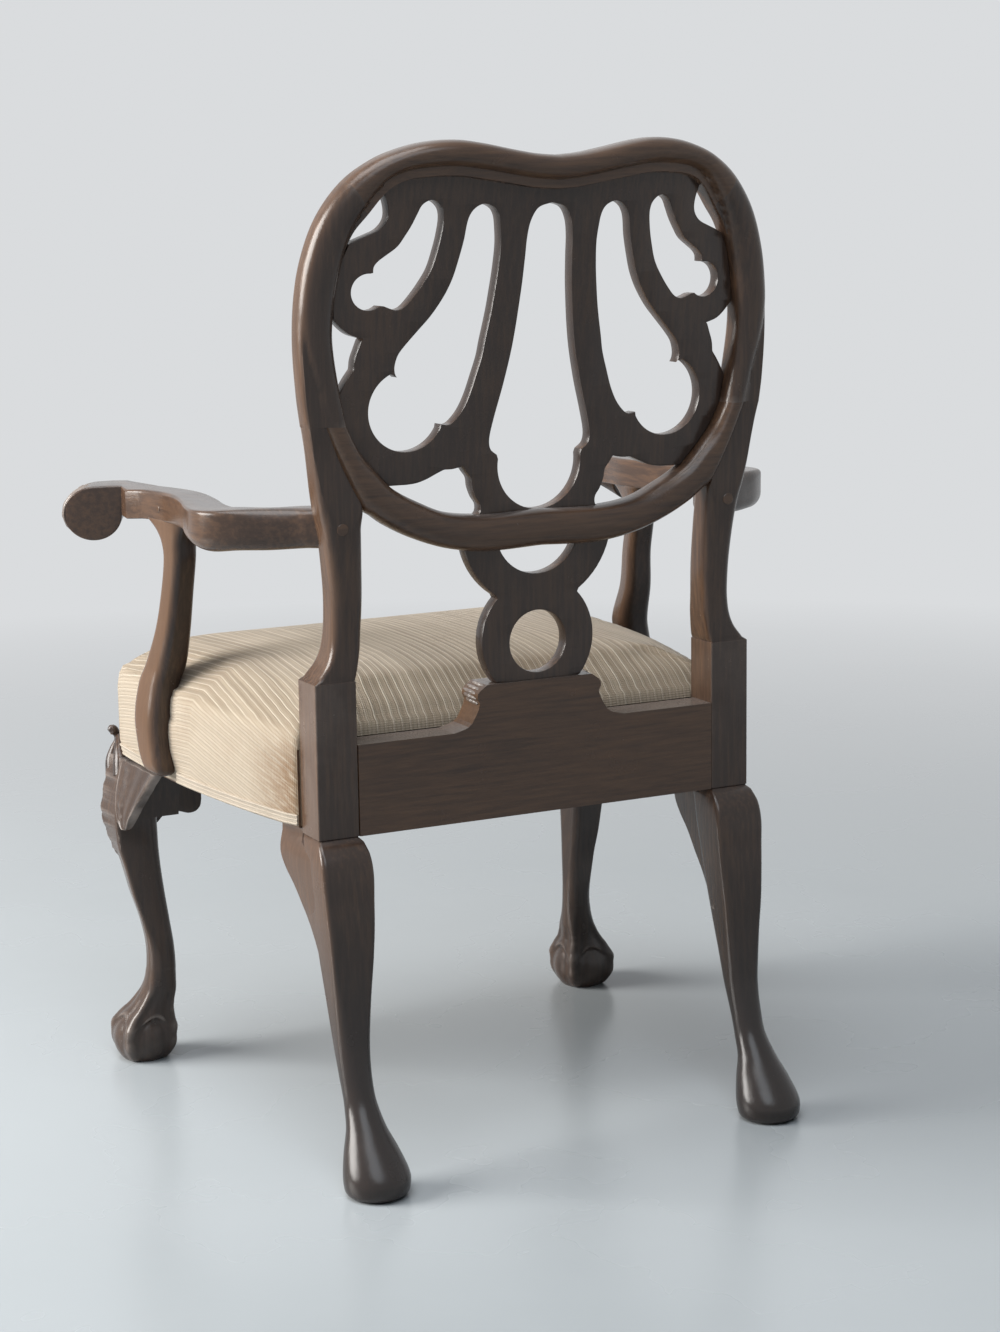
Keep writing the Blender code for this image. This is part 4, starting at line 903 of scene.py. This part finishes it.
SEAT_LINE = 281.9125
SUPPORT = (
    # z, x from the seat's side, y, half x, half y
    (346, 6.1, -295, 6, 8), (349, 7.6, -296.4, 10.5, 13.2), (354, 8.6, -298.6, 13.4, 16.6),
    (362, 9, -302, 14.6, 18.6), (375, 9.1, -307, 15, 20), (405, 8.1, -313, 15.5, 22), (440, 0.6, -314, 17, 22),
    (460, -5.4, -308, 17.5, 20.5), (500, -8.2, -290, 15.2, 17), (540, -11.1, -281.5, 14, 15.5),
    (575, -11.9, -273, 14, 15.5), (592, -11.9, -274.5, 14.5, 18), (603, -11.9, -279, 15, 25),
    (609, -11.9, -283, 15.6, 32), (614, -11.9, -287, 16, 40),
)
SUPPORT_TURN = radians(10)
heights = [346, 347, 349, 351.5] + steps(354, 614, 4)
support_rings = [level_ring(SEAT_LINE + x, y, z, half_x, half_y, ROUND, SUPPORT_TURN)
                 for z, (x, y, half_x, half_y) in zip(heights, trace(SUPPORT, heights))]
pair("support", support_rings, SUPPORT_WOOD, "arm_support", 45)

# Front legs: carved knees, and feet of claws on a ball

STUMP = (259.35, -435.4)
FRONT_LEG = (
    # z, x and y from the stump's axis, half width, squareness
    (58, 10.4, 15.4, 22, 2), (68, 6.6, 18.8, 20.4, 2), (80, 2.4, 22.6, 18, 2.2), (100, -0.2, 25.8, 15.8, 2.4),
    (130, 0, 25.6, 14.8, 2.6), (160, 3.6, 21, 15.6, 3), (190, 9.2, 16.4, 18, 3.5), (220, 13.6, 11.9, 20, 4),
    (250, 17.6, 6.4, 23.3, 4), (276, 19.6, 2.9, 25, 4), (300, 15.3, 0.4, 25, 5), (320, 10.2, -2.2, 24, 6),
    (337.7, 5.6, -1.6, 23, 8),
)
FOOT = (
    # z, x and y from the stump's axis, ball radius, claw height
    (0, 16.2, 8.4, 24, 0.2), (2.5, 16.2, 8.4, 27.8, 0.8), (6, 16.2, 8.4, 30.4, 1.6), (12, 16.2, 8.4, 32.8, 3.2),
    (20, 16.2, 8.4, 34.2, 4.6), (27, 16.2, 8.4, 34.2, 5.8), (34, 15.8, 8.7, 33, 6.8), (42, 14.8, 9.5, 30.6, 7),
    (49, 13.2, 11.3, 28.6, 6), (54, 11.8, 13.4, 25.8, 5.2), (58, 10.4, 15.4, 23.4, 4.8), (63, 8.4, 17.2, 21.2, 4.6),
    (70, 5.8, 19.4, 19.6, 3.8), (80, 2.4, 22.6, 18, 2.2), (92, 0.6, 24.9, 16.4, 0.8), (104, -0.2, 25.8, 15.6, 0),
)
BALL = 33.4
BALL_AT = 24
AROUND = 32
LEAF = ((226, 0.02), (238, 0.30), (252, 0.52), (268, 0.68), (285, 0.80), (305, 0.86), (325, 0.80),
        (337.7, 0.70))
STUMP_ENDS = (338.3, 415)
STUMP_HALF = 20
STUMP_CORNER = 0.46
RIB_WAVE = tau / 17


def carved(angle, z):
    """Height of the knee's leaf at an angle from the knee's front corner."""
    if z < LEAF[0][0]:
        return 0
    turn = abs(angle)
    fold = z + 26 * turn
    width = at(LEAF, z)[0] * (1 + 0.13 * sin(fold * RIB_WAVE))
    body = step(width, width - 0.13, turn)
    vein = exp(-(turn / 0.05) ** 2)
    ribs = 0.5 + 0.5 * sin(fold * RIB_WAVE + 1.2)
    chips = sin(fold * 0.83 + 5 * turn) * sin(fold * 0.31)
    return body * (2.2 + (1.3 * ribs + 0.6 * chips) * step(0.04, 0.2, turn) + 0.5 * vein)


def front_leg_rings():
    """A front leg: claws on a ball, shaft, carved knee, and the stump inside the seat frame."""
    rings = []
    heights = [0, 1.2, 2.5, 4.2, 6] + steps(8, 102, 2)
    for z, (dx, dy, ball, claw) in zip(heights, trace(FOOT, heights)):
        ring = []
        corner = corner_of(at(FRONT_LEG, max(z, FRONT_LEG[0][0]))[3])
        knuckle = 1 + 0.13 * cos((z - 38) * tau / 21) * step(64, 52, z)
        globe = sqrt(BALL ** 2 - min(z - BALL_AT, BALL - 12) ** 2)
        for u, v in rounded(corner, AROUND):
            lobe = 0.5 - 0.5 * cos(4 * atan2(v, u))
            toe = lobe ** mix(5, 1.5, step(50, 100, z))
            brow = 51 - 15 * lobe
            between = mix(globe, ball, step(brow - 2.5, brow + 2.5, z))
            size = mix(between, ball, toe) + max(claw, 0) * knuckle * toe
            ring.append((STUMP[0] + dx + u * size, STUMP[1] + dy + v * size, z))
        rings.append(ring)
    heights = steps(104, FRONT_LEG[-1][0], 2.2)
    for z, (dx, dy, half, power) in zip(heights, trace(FRONT_LEG, heights)):
        ring = []
        corner = corner_of(power)
        turn = -0.17 * step(104, 150, z) * step(276, 236, z)
        crisp = mix(corner, 0.40 * corner, step(110, 160, z))
        for a, b in rounded((crisp, corner, corner, corner), AROUND):
            u = a * cos(turn) - b * sin(turn)
            v = a * sin(turn) + b * cos(turn)
            spread = (atan2(v, u) + pi / 4 + pi) % tau - pi
            size = half + carved(spread, z)
            ring.append((STUMP[0] + dx + u * size, STUMP[1] + dy + v * size, z))
        rings.append(ring)
    return rings + [level_ring(*STUMP, z, STUMP_HALF, STUMP_HALF, STUMP_CORNER, count=AROUND) for z in STUMP_ENDS]


TONGUE_STRANDS = (
    # path and radii: the stem with its curl, and a lobe beside it round the cover's corner
    ([(288, -457, 318), (287, -460.5, 330), (283.4, -462.6, 342), (280, -463.2, 351),
      (280.6, -463.4, 357), (283.4, -463.4, 361.5), (286.6, -463.4, 363), (289.6, -463.4, 361.5)],
     (9, 8, 5.6, 3.6, 3.9, 5.4, 5.4, 2)),
    ([(286, -433, 318), (285.2, -438, 332), (283.8, -445.5, 343), (282, -453.5, 351.5),
      (280.6, -460, 357)],
     (10.5, 9, 6.6, 4.4, 2.4)),
)


def knee_tongue():
    """The leaf's upper tongue, which laps the cover's corner and ends in a small dark curl."""
    strands = []
    for path, sizes in TONGUE_STRANDS:
        places = lengths(path)
        spots = steps(0, places[-1], 1.5)
        radii = [size for size, in spline([(size,) for size in sizes], places, spots)]
        strands.append((spline(path, places, spots), radii, 16))
    return strands


KNEE_LEAF = (
    # z, front and rear edge in Y
    (268, -393, -386), (271, -398, -381.5), (276, -403, -377.5), (284, -409, -371.5), (294, -415, -363.5),
    (305, -420, -354.5), (317, -423, -346), (327, -425, -339), (337.2, -426, -331),
)
LEAF_THICK = 9
LEAF_POINTS = 36
SCALLOP = 14


def knee_leaf_rings():
    """A carved leaf on the knee's side: scalloped rear edge with a rim, and veins that fan from its tip."""
    tip = KNEE_LEAF[0][0]
    heights = steps(tip, KNEE_LEAF[-1][0], 1)
    rings = []
    for z, (front, rear), (dx, _, half, _) in zip(heights, trace(KNEE_LEAF, heights), trace(FRONT_LEG, heights)):
        rear -= 0.8 * (1 - abs(sin((z - tip) * pi / SCALLOP))) * step(tip, tip + 8, z)
        thick = LEAF_THICK * min(0.25 + 0.75 * sqrt((z - tip) / SCALLOP), 1)
        outer = []
        inner = []
        for s in (k / LEAF_POINTS for k in range(LEAF_POINTS + 1)):
            rim = exp(-((s - 0.93) / 0.05) ** 2)
            veins = (0.5 + 0.5 * cos(s * tau * 3)) * step(0, 0.15, s) * step(0.9, 0.7, s)
            chips = (sin(z * 0.33 + s * 9) * sin(z * 0.17 - s * 5)
                     * step(0.6, 0.25, s) * step(0, 0.2, s))
            x = STUMP[0] + dx + half + 0.6 - 3.5 * s + 1.3 * rim + 0.7 * veins + 0.8 * chips
            y = mix(front, rear, s)
            outer.append((x - 2.5 * step(0.96, 1, s), y, z))
            inner.append((x - thick, y, z))
        rings.append(outer + inner[::-1])
    return rings


pair("leg", front_leg_rings(), CARVED_WOOD, "front_leg", 38)
carve("knee_tongue", knee_tongue(), SPLAT_WOOD)
pair("knee_leaf", knee_leaf_rings(), CARVED_WOOD, angle=60)

FRONT_EAR = ([(266, 337.2), (197.2, 337.2), (196.4, 330), (196.4, 286)]
             + smooth([(196.4, 281), (198, 273), (203.5, 267.6), (212, 266.4), (222, 269.4), (232, 271),
                       (241, 267.5), (249, 260), (257, 256.5)]) + [(266, 256)])
FRONT_EAR_FACES = (-453, -431.6)
FRONT_EAR_BEVEL = 1.6
for side, outline in (("left", FRONT_EAR), ("right", flipped(FRONT_EAR))):
    place(f"front_ear_{side}", board([outline], *FRONT_EAR_FACES, FRONT_EAR_BEVEL), SPLAT_WOOD,
          [f"knee_bracket_front_{side}"], 30)

# Seat cover: walls and crown over one plan, blown out a little by cloth pressure

SEAT_REAR_HALF = 243
SEAT_SPLAY = 0.235
SEAT_BOW = 0.34e-3
SPLAY_FROM = -33
TUCK = 2.3
TUCK_FROM = -60
SEAT_BACK = -42.5
SEAT_MIDDLE = -240
SEAT_FRONT = -458
SEAT_CORNER = 10
COVER_FOLD = 239
LIP = 340
REAR_LIP = 421.9
WALL_TOP = 414
CROWN_TOP = 477.5
CROWN_ROWS = 34
CROWN_CROWDING = 1.45
SHEAR = 0.13
SHEAR_BAND = (40, 240)
SUPPORT_DENT = 1.5
SUPPORT_ROOM = 2.5
PRESS_BELOW = 474
PRESS_FROM = 230
DOME = ((1, 414), (0.997, 423), (0.987, 432), (0.968, 440), (0.935, 447.5), (0.885, 454.8), (0.81, 461.8),
        (0.64, 470), (0.42, 475), (0.18, 477), (0.03, 477.4))


def seat_half(y):
    """Half the seat's width: sides that splay and bow, tucked in beside the rear posts."""
    s = SPLAY_FROM - y
    return SEAT_REAR_HALF + SEAT_SPLAY * s - SEAT_BOW * s ** 2 - TUCK * step(TUCK_FROM, SEAT_BACK, y)


def seat_outline(inset=0, pitch=8):
    """Plan with normals: left side, front corner, front, and round to the rear right corner."""
    corner = max(SEAT_CORNER - inset, 2)
    start_corner = SEAT_FRONT + inset + corner
    half = [(seat_half(y) - inset, y, 1, 0) for y in steps(SEAT_BACK - inset, start_corner, pitch)]
    middle = (half[-1][0] - corner, start_corner)
    for x, y in arc(middle, corner, -8, -90):
        half.append((x, y, (x - middle[0]) / corner, (y - middle[1]) / corner))
    half += [(x, SEAT_FRONT + inset, 0, -1) for x in steps(half[-1][0], 0, pitch)[1:]]
    return half + [(-x, y, -nx, ny) for x, y, nx, ny in reversed(half[:-1])]


def support_press(x, y, z):
    """How far the cloth is pressed in behind an arm support."""
    if z > PRESS_BELOW or abs(x) < PRESS_FROM:
        return 0
    out, middle, half_x, half_y = at(SUPPORT, max(z, SUPPORT[0][0]))
    inner = SEAT_LINE + out - half_x - SUPPORT_ROOM
    deep = max(abs(x) - inner, 0) * step(half_y + 17, half_y + 2, abs(y - middle))
    return min(deep, SUPPORT_DENT)


def make_cover():
    """Rows of vertices from the lower edge to the crown's middle, and UVs that run along the cloth."""
    fold = (COVER_FOLD, SEAT_BACK + 0.3, 0, 1)
    outline = [fold] + seat_outline() + [(-fold[0], *fold[1:])]
    plan = outline + [(x, fold[1], 0, 1) for x in steps(-fold[0], fold[0], 10)[1:-1]]
    levels = [(1, z) for z in steps(LIP, WALL_TOP - 6, 8)]
    shares = [-1 + 0.97 * (k / CROWN_ROWS) ** CROWN_CROWDING for k in range(CROWN_ROWS + 1)]
    levels += spline(DOME, [-f for f, _ in DOME], shares)
    bm = bmesh.new()
    rows = []
    for factor, z in levels:
        row = []
        for k, (x, y, _, _) in enumerate(plan):
            px = x * factor
            py = SEAT_MIDDLE + (y - SEAT_MIDDLE) * factor
            height = max(z, REAR_LIP) if k >= len(outline) else z
            px -= copysign(support_press(px, py, height), px)
            row.append(bm.verts.new((px, py, height)))
        rows.append(row)
    marks = {}
    for k, (x, y, nx, ny) in enumerate(plan):
        across = 0
        along = SEAT_MIDDLE
        px, py, height = 0, SEAT_MIDDLE, CROWN_TOP
        for row in reversed(rows):
            co = row[k].co
            across += copysign(hypot(co.x - px, nx * (co.z - height)), x)
            along += copysign(hypot(co.y - py, ny * (co.z - height)), y - SEAT_MIDDLE)
            px, py, height = co
            shear = SHEAR * step(*SHEAR_BAND, abs(px)) * (py - SEAT_MIDDLE)
            marks[row[k]] = ((across - copysign(shear, x)) * MM, along * MM)
    count = len(plan)
    for low, high in zip(rows, rows[1:]):
        for i in range(count):
            j = (i + 1) % count
            corners = (low[i], low[j], high[j], high[i])
            if len({tuple(round(c, 4) for c in v.co) for v in corners}) >= 3:
                bm.faces.new(corners)
    middle = bm.verts.new((0, SEAT_MIDDLE, CROWN_TOP))
    marks[middle] = (0, SEAT_MIDDLE * MM)
    for i in range(count):
        bm.faces.new((rows[-1][i], rows[-1][(i + 1) % count], middle))
    unwrap(bm, marks.get)
    bmesh.ops.remove_doubles(bm, verts=bm.verts, dist=0.001)
    return place("padded_seat", bm, CLOTH, ["seat_cover", "seat_stuffing"], 180)


FRAMES = 16
FARTHEST_MOVE = 0.004
CLOTH_SETTINGS = {"quality": 5, "mass": 0.3, "tension_stiffness": 20.0, "compression_stiffness": 20.0,
                  "bending_stiffness": 0.6, "use_pressure": True, "uniform_pressure_force": 4.0}


def inflate(piece):
    """Cloth pressure as a plain mesh: lower edges held, walls kept off the rails and each move capped."""
    mesh = piece.data
    rest = [v.co.copy() for v in mesh.vertices]
    outward = [v.normal.copy() for v in mesh.vertices]
    rear = (SHIFT + SEAT_BACK - 2) * MM
    held = [k for k, p in enumerate(rest)
            if p.z < (LIP + 14) * MM or p.z < (REAR_LIP + 9) * MM and p.y > rear]
    group = piece.vertex_groups.new(name="held")
    group.add(held, 1.0, "REPLACE")
    cloth = piece.modifiers.new("cloth", "CLOTH")
    for key, value in CLOTH_SETTINGS.items():
        setattr(cloth.settings, key, value)
    cloth.settings.vertex_group_mass = group.name
    cloth.settings.effector_weights.gravity = 0.0
    cloth.collision_settings.use_collision = False
    cloth.point_cache.frame_start = 1
    cloth.point_cache.frame_end = FRAMES
    for number in range(1, FRAMES + 1):
        SCENE.frame_set(number)
    blown = piece.evaluated_get(bpy.context.evaluated_depsgraph_get()).to_mesh()
    moved = [v.co.copy() for v in blown.vertices]
    piece.modifiers.remove(cloth)
    piece.vertex_groups.remove(group)
    SCENE.frame_set(1)
    for vert, a, b, normal in zip(mesh.vertices, rest, moved, outward):
        move = b - a
        if a.z < (WALL_TOP + 20) * MM:
            move -= normal * min(move.dot(normal), 0.0)
        if move.length > FARTHEST_MOVE:
            move *= FARTHEST_MOVE / move.length
        vert.co = a + move
    mesh.update()


cover = make_cover()
inflate(cover)

# Gimp braid along the cover's lower edge

GIMP_PROFILE = [(0.3, 0.2), (1.6, 0.2), (2.2, 1), (2.2, 2), (1.6, 2.8), (1.3, 3.3), (1.7, 4.2), (1.8, 5.5),
                (1.7, 6.8), (1.3, 7.7), (1.6, 8.2), (2.2, 9), (2.2, 10), (1.6, 10.8), (0.3, 10.8)]


def braid(part, stations):
    """Braid along stations of point and outward normal, with UV metres along and across."""
    bm = bmesh.new()
    run = lengths([s[:2] for s in stations])
    girth = lengths(GIMP_PROFILE)
    rows = skin(bm, [[(x + nx * out, y + ny * out, LIP + up) for out, up in GIMP_PROFILE]
                     for x, y, nx, ny in stations])
    marks = {v: (girth[i] * MM, run[k] * MM) for k, row in enumerate(rows) for i, v in enumerate(row)}
    unwrap(bm, marks.get)
    place(f"braid_{part}", bm, BRAID, [f"gimp_{part}"], 60)


# The braid stops behind and in front of the arm support
BRAID_STOPS = (-277, -322)
outline = seat_outline(0, 4)
rear_run = [s for s in outline if s[0] > 0 and s[1] > BRAID_STOPS[0] and s[2] == 1]
braid("left", rear_run)
braid("right", [(-x, y, -nx, ny) for x, y, nx, ny in rear_run])
braid("front", [s for s in outline if s[1] < BRAID_STOPS[1]])


# Sheets and straps under the seat

SHEET_CUTS = (steps(-280, 280, 35), steps(-440, -60, 30))
SHEET_MIDDLE = -250
SHEET_REACH = 200
HESSIAN_INSET = 18
HESSIAN_REAR = -44
HESSIAN_Z = 419.2
DUST_Z = 337.2
DUST_SAG = 2.5


def flat_sheet(name, outline, z, sag, material, node_name):
    """A stretched sheet cut to an outline, with a slight sag, and its UVs in metres."""
    bm = bmesh.new()
    bm.faces.new([bm.verts.new((x, y, z)) for x, y in outline])
    for axis, places in enumerate(SHEET_CUTS):
        bisect(bm, axis, places)
    area = sum(f.calc_area() for f in bm.faces) * MM * MM
    xs = [x for x, _ in outline]
    for vert in bm.verts:
        x, y, _ = vert.co
        reach = max(1 - (x / max(xs)) ** 2, 0) * max(1 - ((y - SHEET_MIDDLE) / SHEET_REACH) ** 2, 0)
        vert.co.z -= sag * reach
    unwrap(bm, plan_mark)
    piece = place(name, bm, material, [node_name], solid=False)


hessian_plan = [(x, min(y, HESSIAN_REAR)) for x, y, _, _ in seat_outline(HESSIAN_INSET, 20)]
flat_sheet("hessian_sheet", hessian_plan, HESSIAN_Z, 0, JUTE, "hessian")
dust_half = [(193, -45.3), (193, -84)] + [(seat_half(y) - 22, y) for y in steps(-84, -382, 75)]
dust_half += [(192, -382), (192, -436)]
dust_plan = dust_half + flipped(reversed(dust_half))
flat_sheet("dust_sheet", dust_plan, DUST_Z, DUST_SAG, DUST, "bottom_cloth")

STRAP_X = (-150, -50, 50, 150)
STRAP_Y = (-125, -235, -345)
STRAP_Z = 416
STRAP_LIFT = 1.9
STRAP_PROFILE = [(-25, -0.3), (-24.4, -0.6), (24.4, -0.6), (25, -0.3), (25, 0.3), (24.4, 0.6), (-24.4, 0.6),
                 (-25, 0.3)]


def webbing(name, across, crossings, first_over, ends, lengthwise):
    """A woven strap that passes over and under the straps it meets."""
    rings = []
    for spot in steps(*ends, 4):
        lift = STRAP_Z
        for k, crossing in enumerate(crossings):
            if (k % 2 == 0) == first_over:
                lift += STRAP_LIFT * step(30, 26, abs(spot - crossing))
        rings.append([(across + a, spot, lift + b) if lengthwise else (spot, across + a, lift + b)
                      for a, b in STRAP_PROFILE])
    bm = bmesh.new()
    skin(bm, rings)
    unwrap(bm, plan_mark)
    place(f"strap_{name}", bm, JUTE, [f"webbing_{name}"])


for k, x in enumerate(STRAP_X):
    low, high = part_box(f"webbing_long_{k + 1}")
    webbing(f"long_{k + 1}", x, STRAP_Y, k % 2 == 0, (low[1] / MM - SHIFT, high[1] / MM - SHIFT), True)
for k, y in enumerate(STRAP_Y):
    low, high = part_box(f"webbing_cross_{k + 1}")
    webbing(f"cross_{k + 1}", y, STRAP_X, k % 2 == 1, (low[0] / MM, high[0] / MM), False)

# Frame parts that keep their shape: finish and eased edges

EASE = 0.0008
EASE_OVER = radians(40)


def dressed(name, material):
    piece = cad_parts[name]
    for slot in piece.material_slots:
        slot.material = material
    return piece


KEPT = (
    (PLAIN_WOOD["x"], ["rear_seat_rail", "front_seat_rail"]),
    (PLAIN_WOOD["x"], [f"corner_block_{end}_{side}" for end in ("front", "rear") for side in ("left", "right")]),
    (PLAIN_WOOD["y"], ["side_seat_rail_left", "side_seat_rail_right"]),
    (SPLAT_WOOD, ["knee_bracket_side_left", "knee_bracket_side_right"]),
)
for material, names in KEPT:
    for name in names:
        ease = dressed(name, material).modifiers.new("ease", "BEVEL")
        ease.width = EASE
        ease.segments = 2
        ease.limit_method = "ANGLE"
        ease.angle_limit = EASE_OVER
for name in ("arm_screw_left", "arm_screw_right", "support_screw_left", "support_screw_right"):
    dressed(name, STEEL)


# Stage, light and camera

BACKDROP = (0.70, 0.715, 0.73, 1.0)
FLOOR = (0.44, 0.475, 0.495)
FLOOR_MARKS = (0.485, 0.52, 0.54)
FLOOR_HALF = 30.0
FADE = (0.9, 3.2)


def shown(tree):
    """1 for rays that should find the pale background: from the camera, reflected or passed through."""
    path = node(tree, "LightPath").outputs
    straight = calc("MAXIMUM", path["Is Camera Ray"], path["Is Glossy Ray"])
    return calc("MAXIMUM", straight, path["Is Transmission Ray"])


def floor_material():
    """Pale painted floor that fades into the background a few metres out."""
    material, tree, shader = start("pale_floor")
    spot = coordinates(tree)
    marks = noise(spot, 3.0, 4.0)
    paint(shader, FLOOR, [(marks, FLOOR_MARKS)])
    tree.links.new(rise(marks, 0.3, 0.7, 0.22, 0.32), shader.inputs["Roughness"])
    far = rise(node(tree, "VectorMath", {0: spot}, operation="LENGTH").outputs["Value"], *FADE)
    glow = node(tree, "Emission", {"Color": BACKDROP, "Strength": 1.0})
    fade = node(tree, "MixShader", {0: times(far, shown(tree)), 1: shader.outputs[0], 2: glow.outputs[0]})
    tree.links.new(fade.outputs[0], tree.nodes["Material Output"].inputs["Surface"])
    return material


bm = bmesh.new()
bmesh.ops.create_grid(bm, x_segments=2, y_segments=2, size=FLOOR_HALF)
floor_mesh = bpy.data.meshes.new("floor")
bm.to_mesh(floor_mesh)
bm.free()
floor_mesh.materials.append(floor_material())
floor = bpy.data.objects.new("floor", floor_mesh)
SCENE.collection.objects.link(floor)


def lamp(name, position, target, size, power, colour):
    light = bpy.data.lights.new(name, "AREA")
    light.shape = "DISK"
    light.size = size
    light.energy = power
    light.color = colour
    piece = bpy.data.objects.new(name, light)
    piece.location = position
    piece.rotation_euler = (Vector(target) - Vector(position)).to_track_quat("-Z", "Y").to_euler()
    SCENE.collection.objects.link(piece)


lamp("key", (3.3, -1.2, 1.9), (0.0, 0.0, 0.55), 2.6, 235.0, (1.0, 0.975, 0.94))
lamp("top", (0.9, 0.2, 3.4), (0.0, 0.0, 0.5), 2.2, 58.0, (0.97, 0.985, 1.0))
lamp("fill", (0.7, 2.0, 2.7), (0.0, 0.0, 0.85), 2.0, 26.0, (0.84, 0.92, 1.0))
world = bpy.data.worlds.new("studio")
world.use_nodes = True
SCENE.world = world
tree = world.node_tree
sky = tree.nodes["Background"]
sky.inputs["Color"].default_value = (0.90, 0.93, 0.97, 1.0)
sky.inputs["Strength"].default_value = 0.06
backdrop = node(tree, "Background", {"Color": BACKDROP, "Strength": 1.0})
chosen = node(tree, "MixShader", {0: shown(tree), 1: sky.outputs[0], 2: backdrop.outputs[0]})
tree.links.new(chosen.outputs[0], tree.nodes["World Output"].inputs["Surface"])

CAMERA = Vector((1.23160, 2.528995, 0.98248))
YAW = 0.467886
DOWN = 0.186798
ROLL = -0.0145032
forward = Vector((-sin(YAW) * cos(DOWN), -cos(YAW) * cos(DOWN), -sin(DOWN)))
right = forward.cross(Vector((0.0, 0.0, 1.0))).normalized()
up = right.cross(forward)
across = right * cos(ROLL) + up * sin(ROLL)
upward = up * cos(ROLL) - right * sin(ROLL)
lens = bpy.data.cameras.new("camera")
lens.sensor_width = 36.0
lens.lens = 74.249
camera = bpy.data.objects.new("camera", lens)
turned = Matrix((across, upward, -forward)).transposed().to_4x4()
turned.translation = CAMERA
camera.matrix_world = turned
SCENE.collection.objects.link(camera)
SCENE.camera = camera
SCENE.view_settings.view_transform = "Standard"
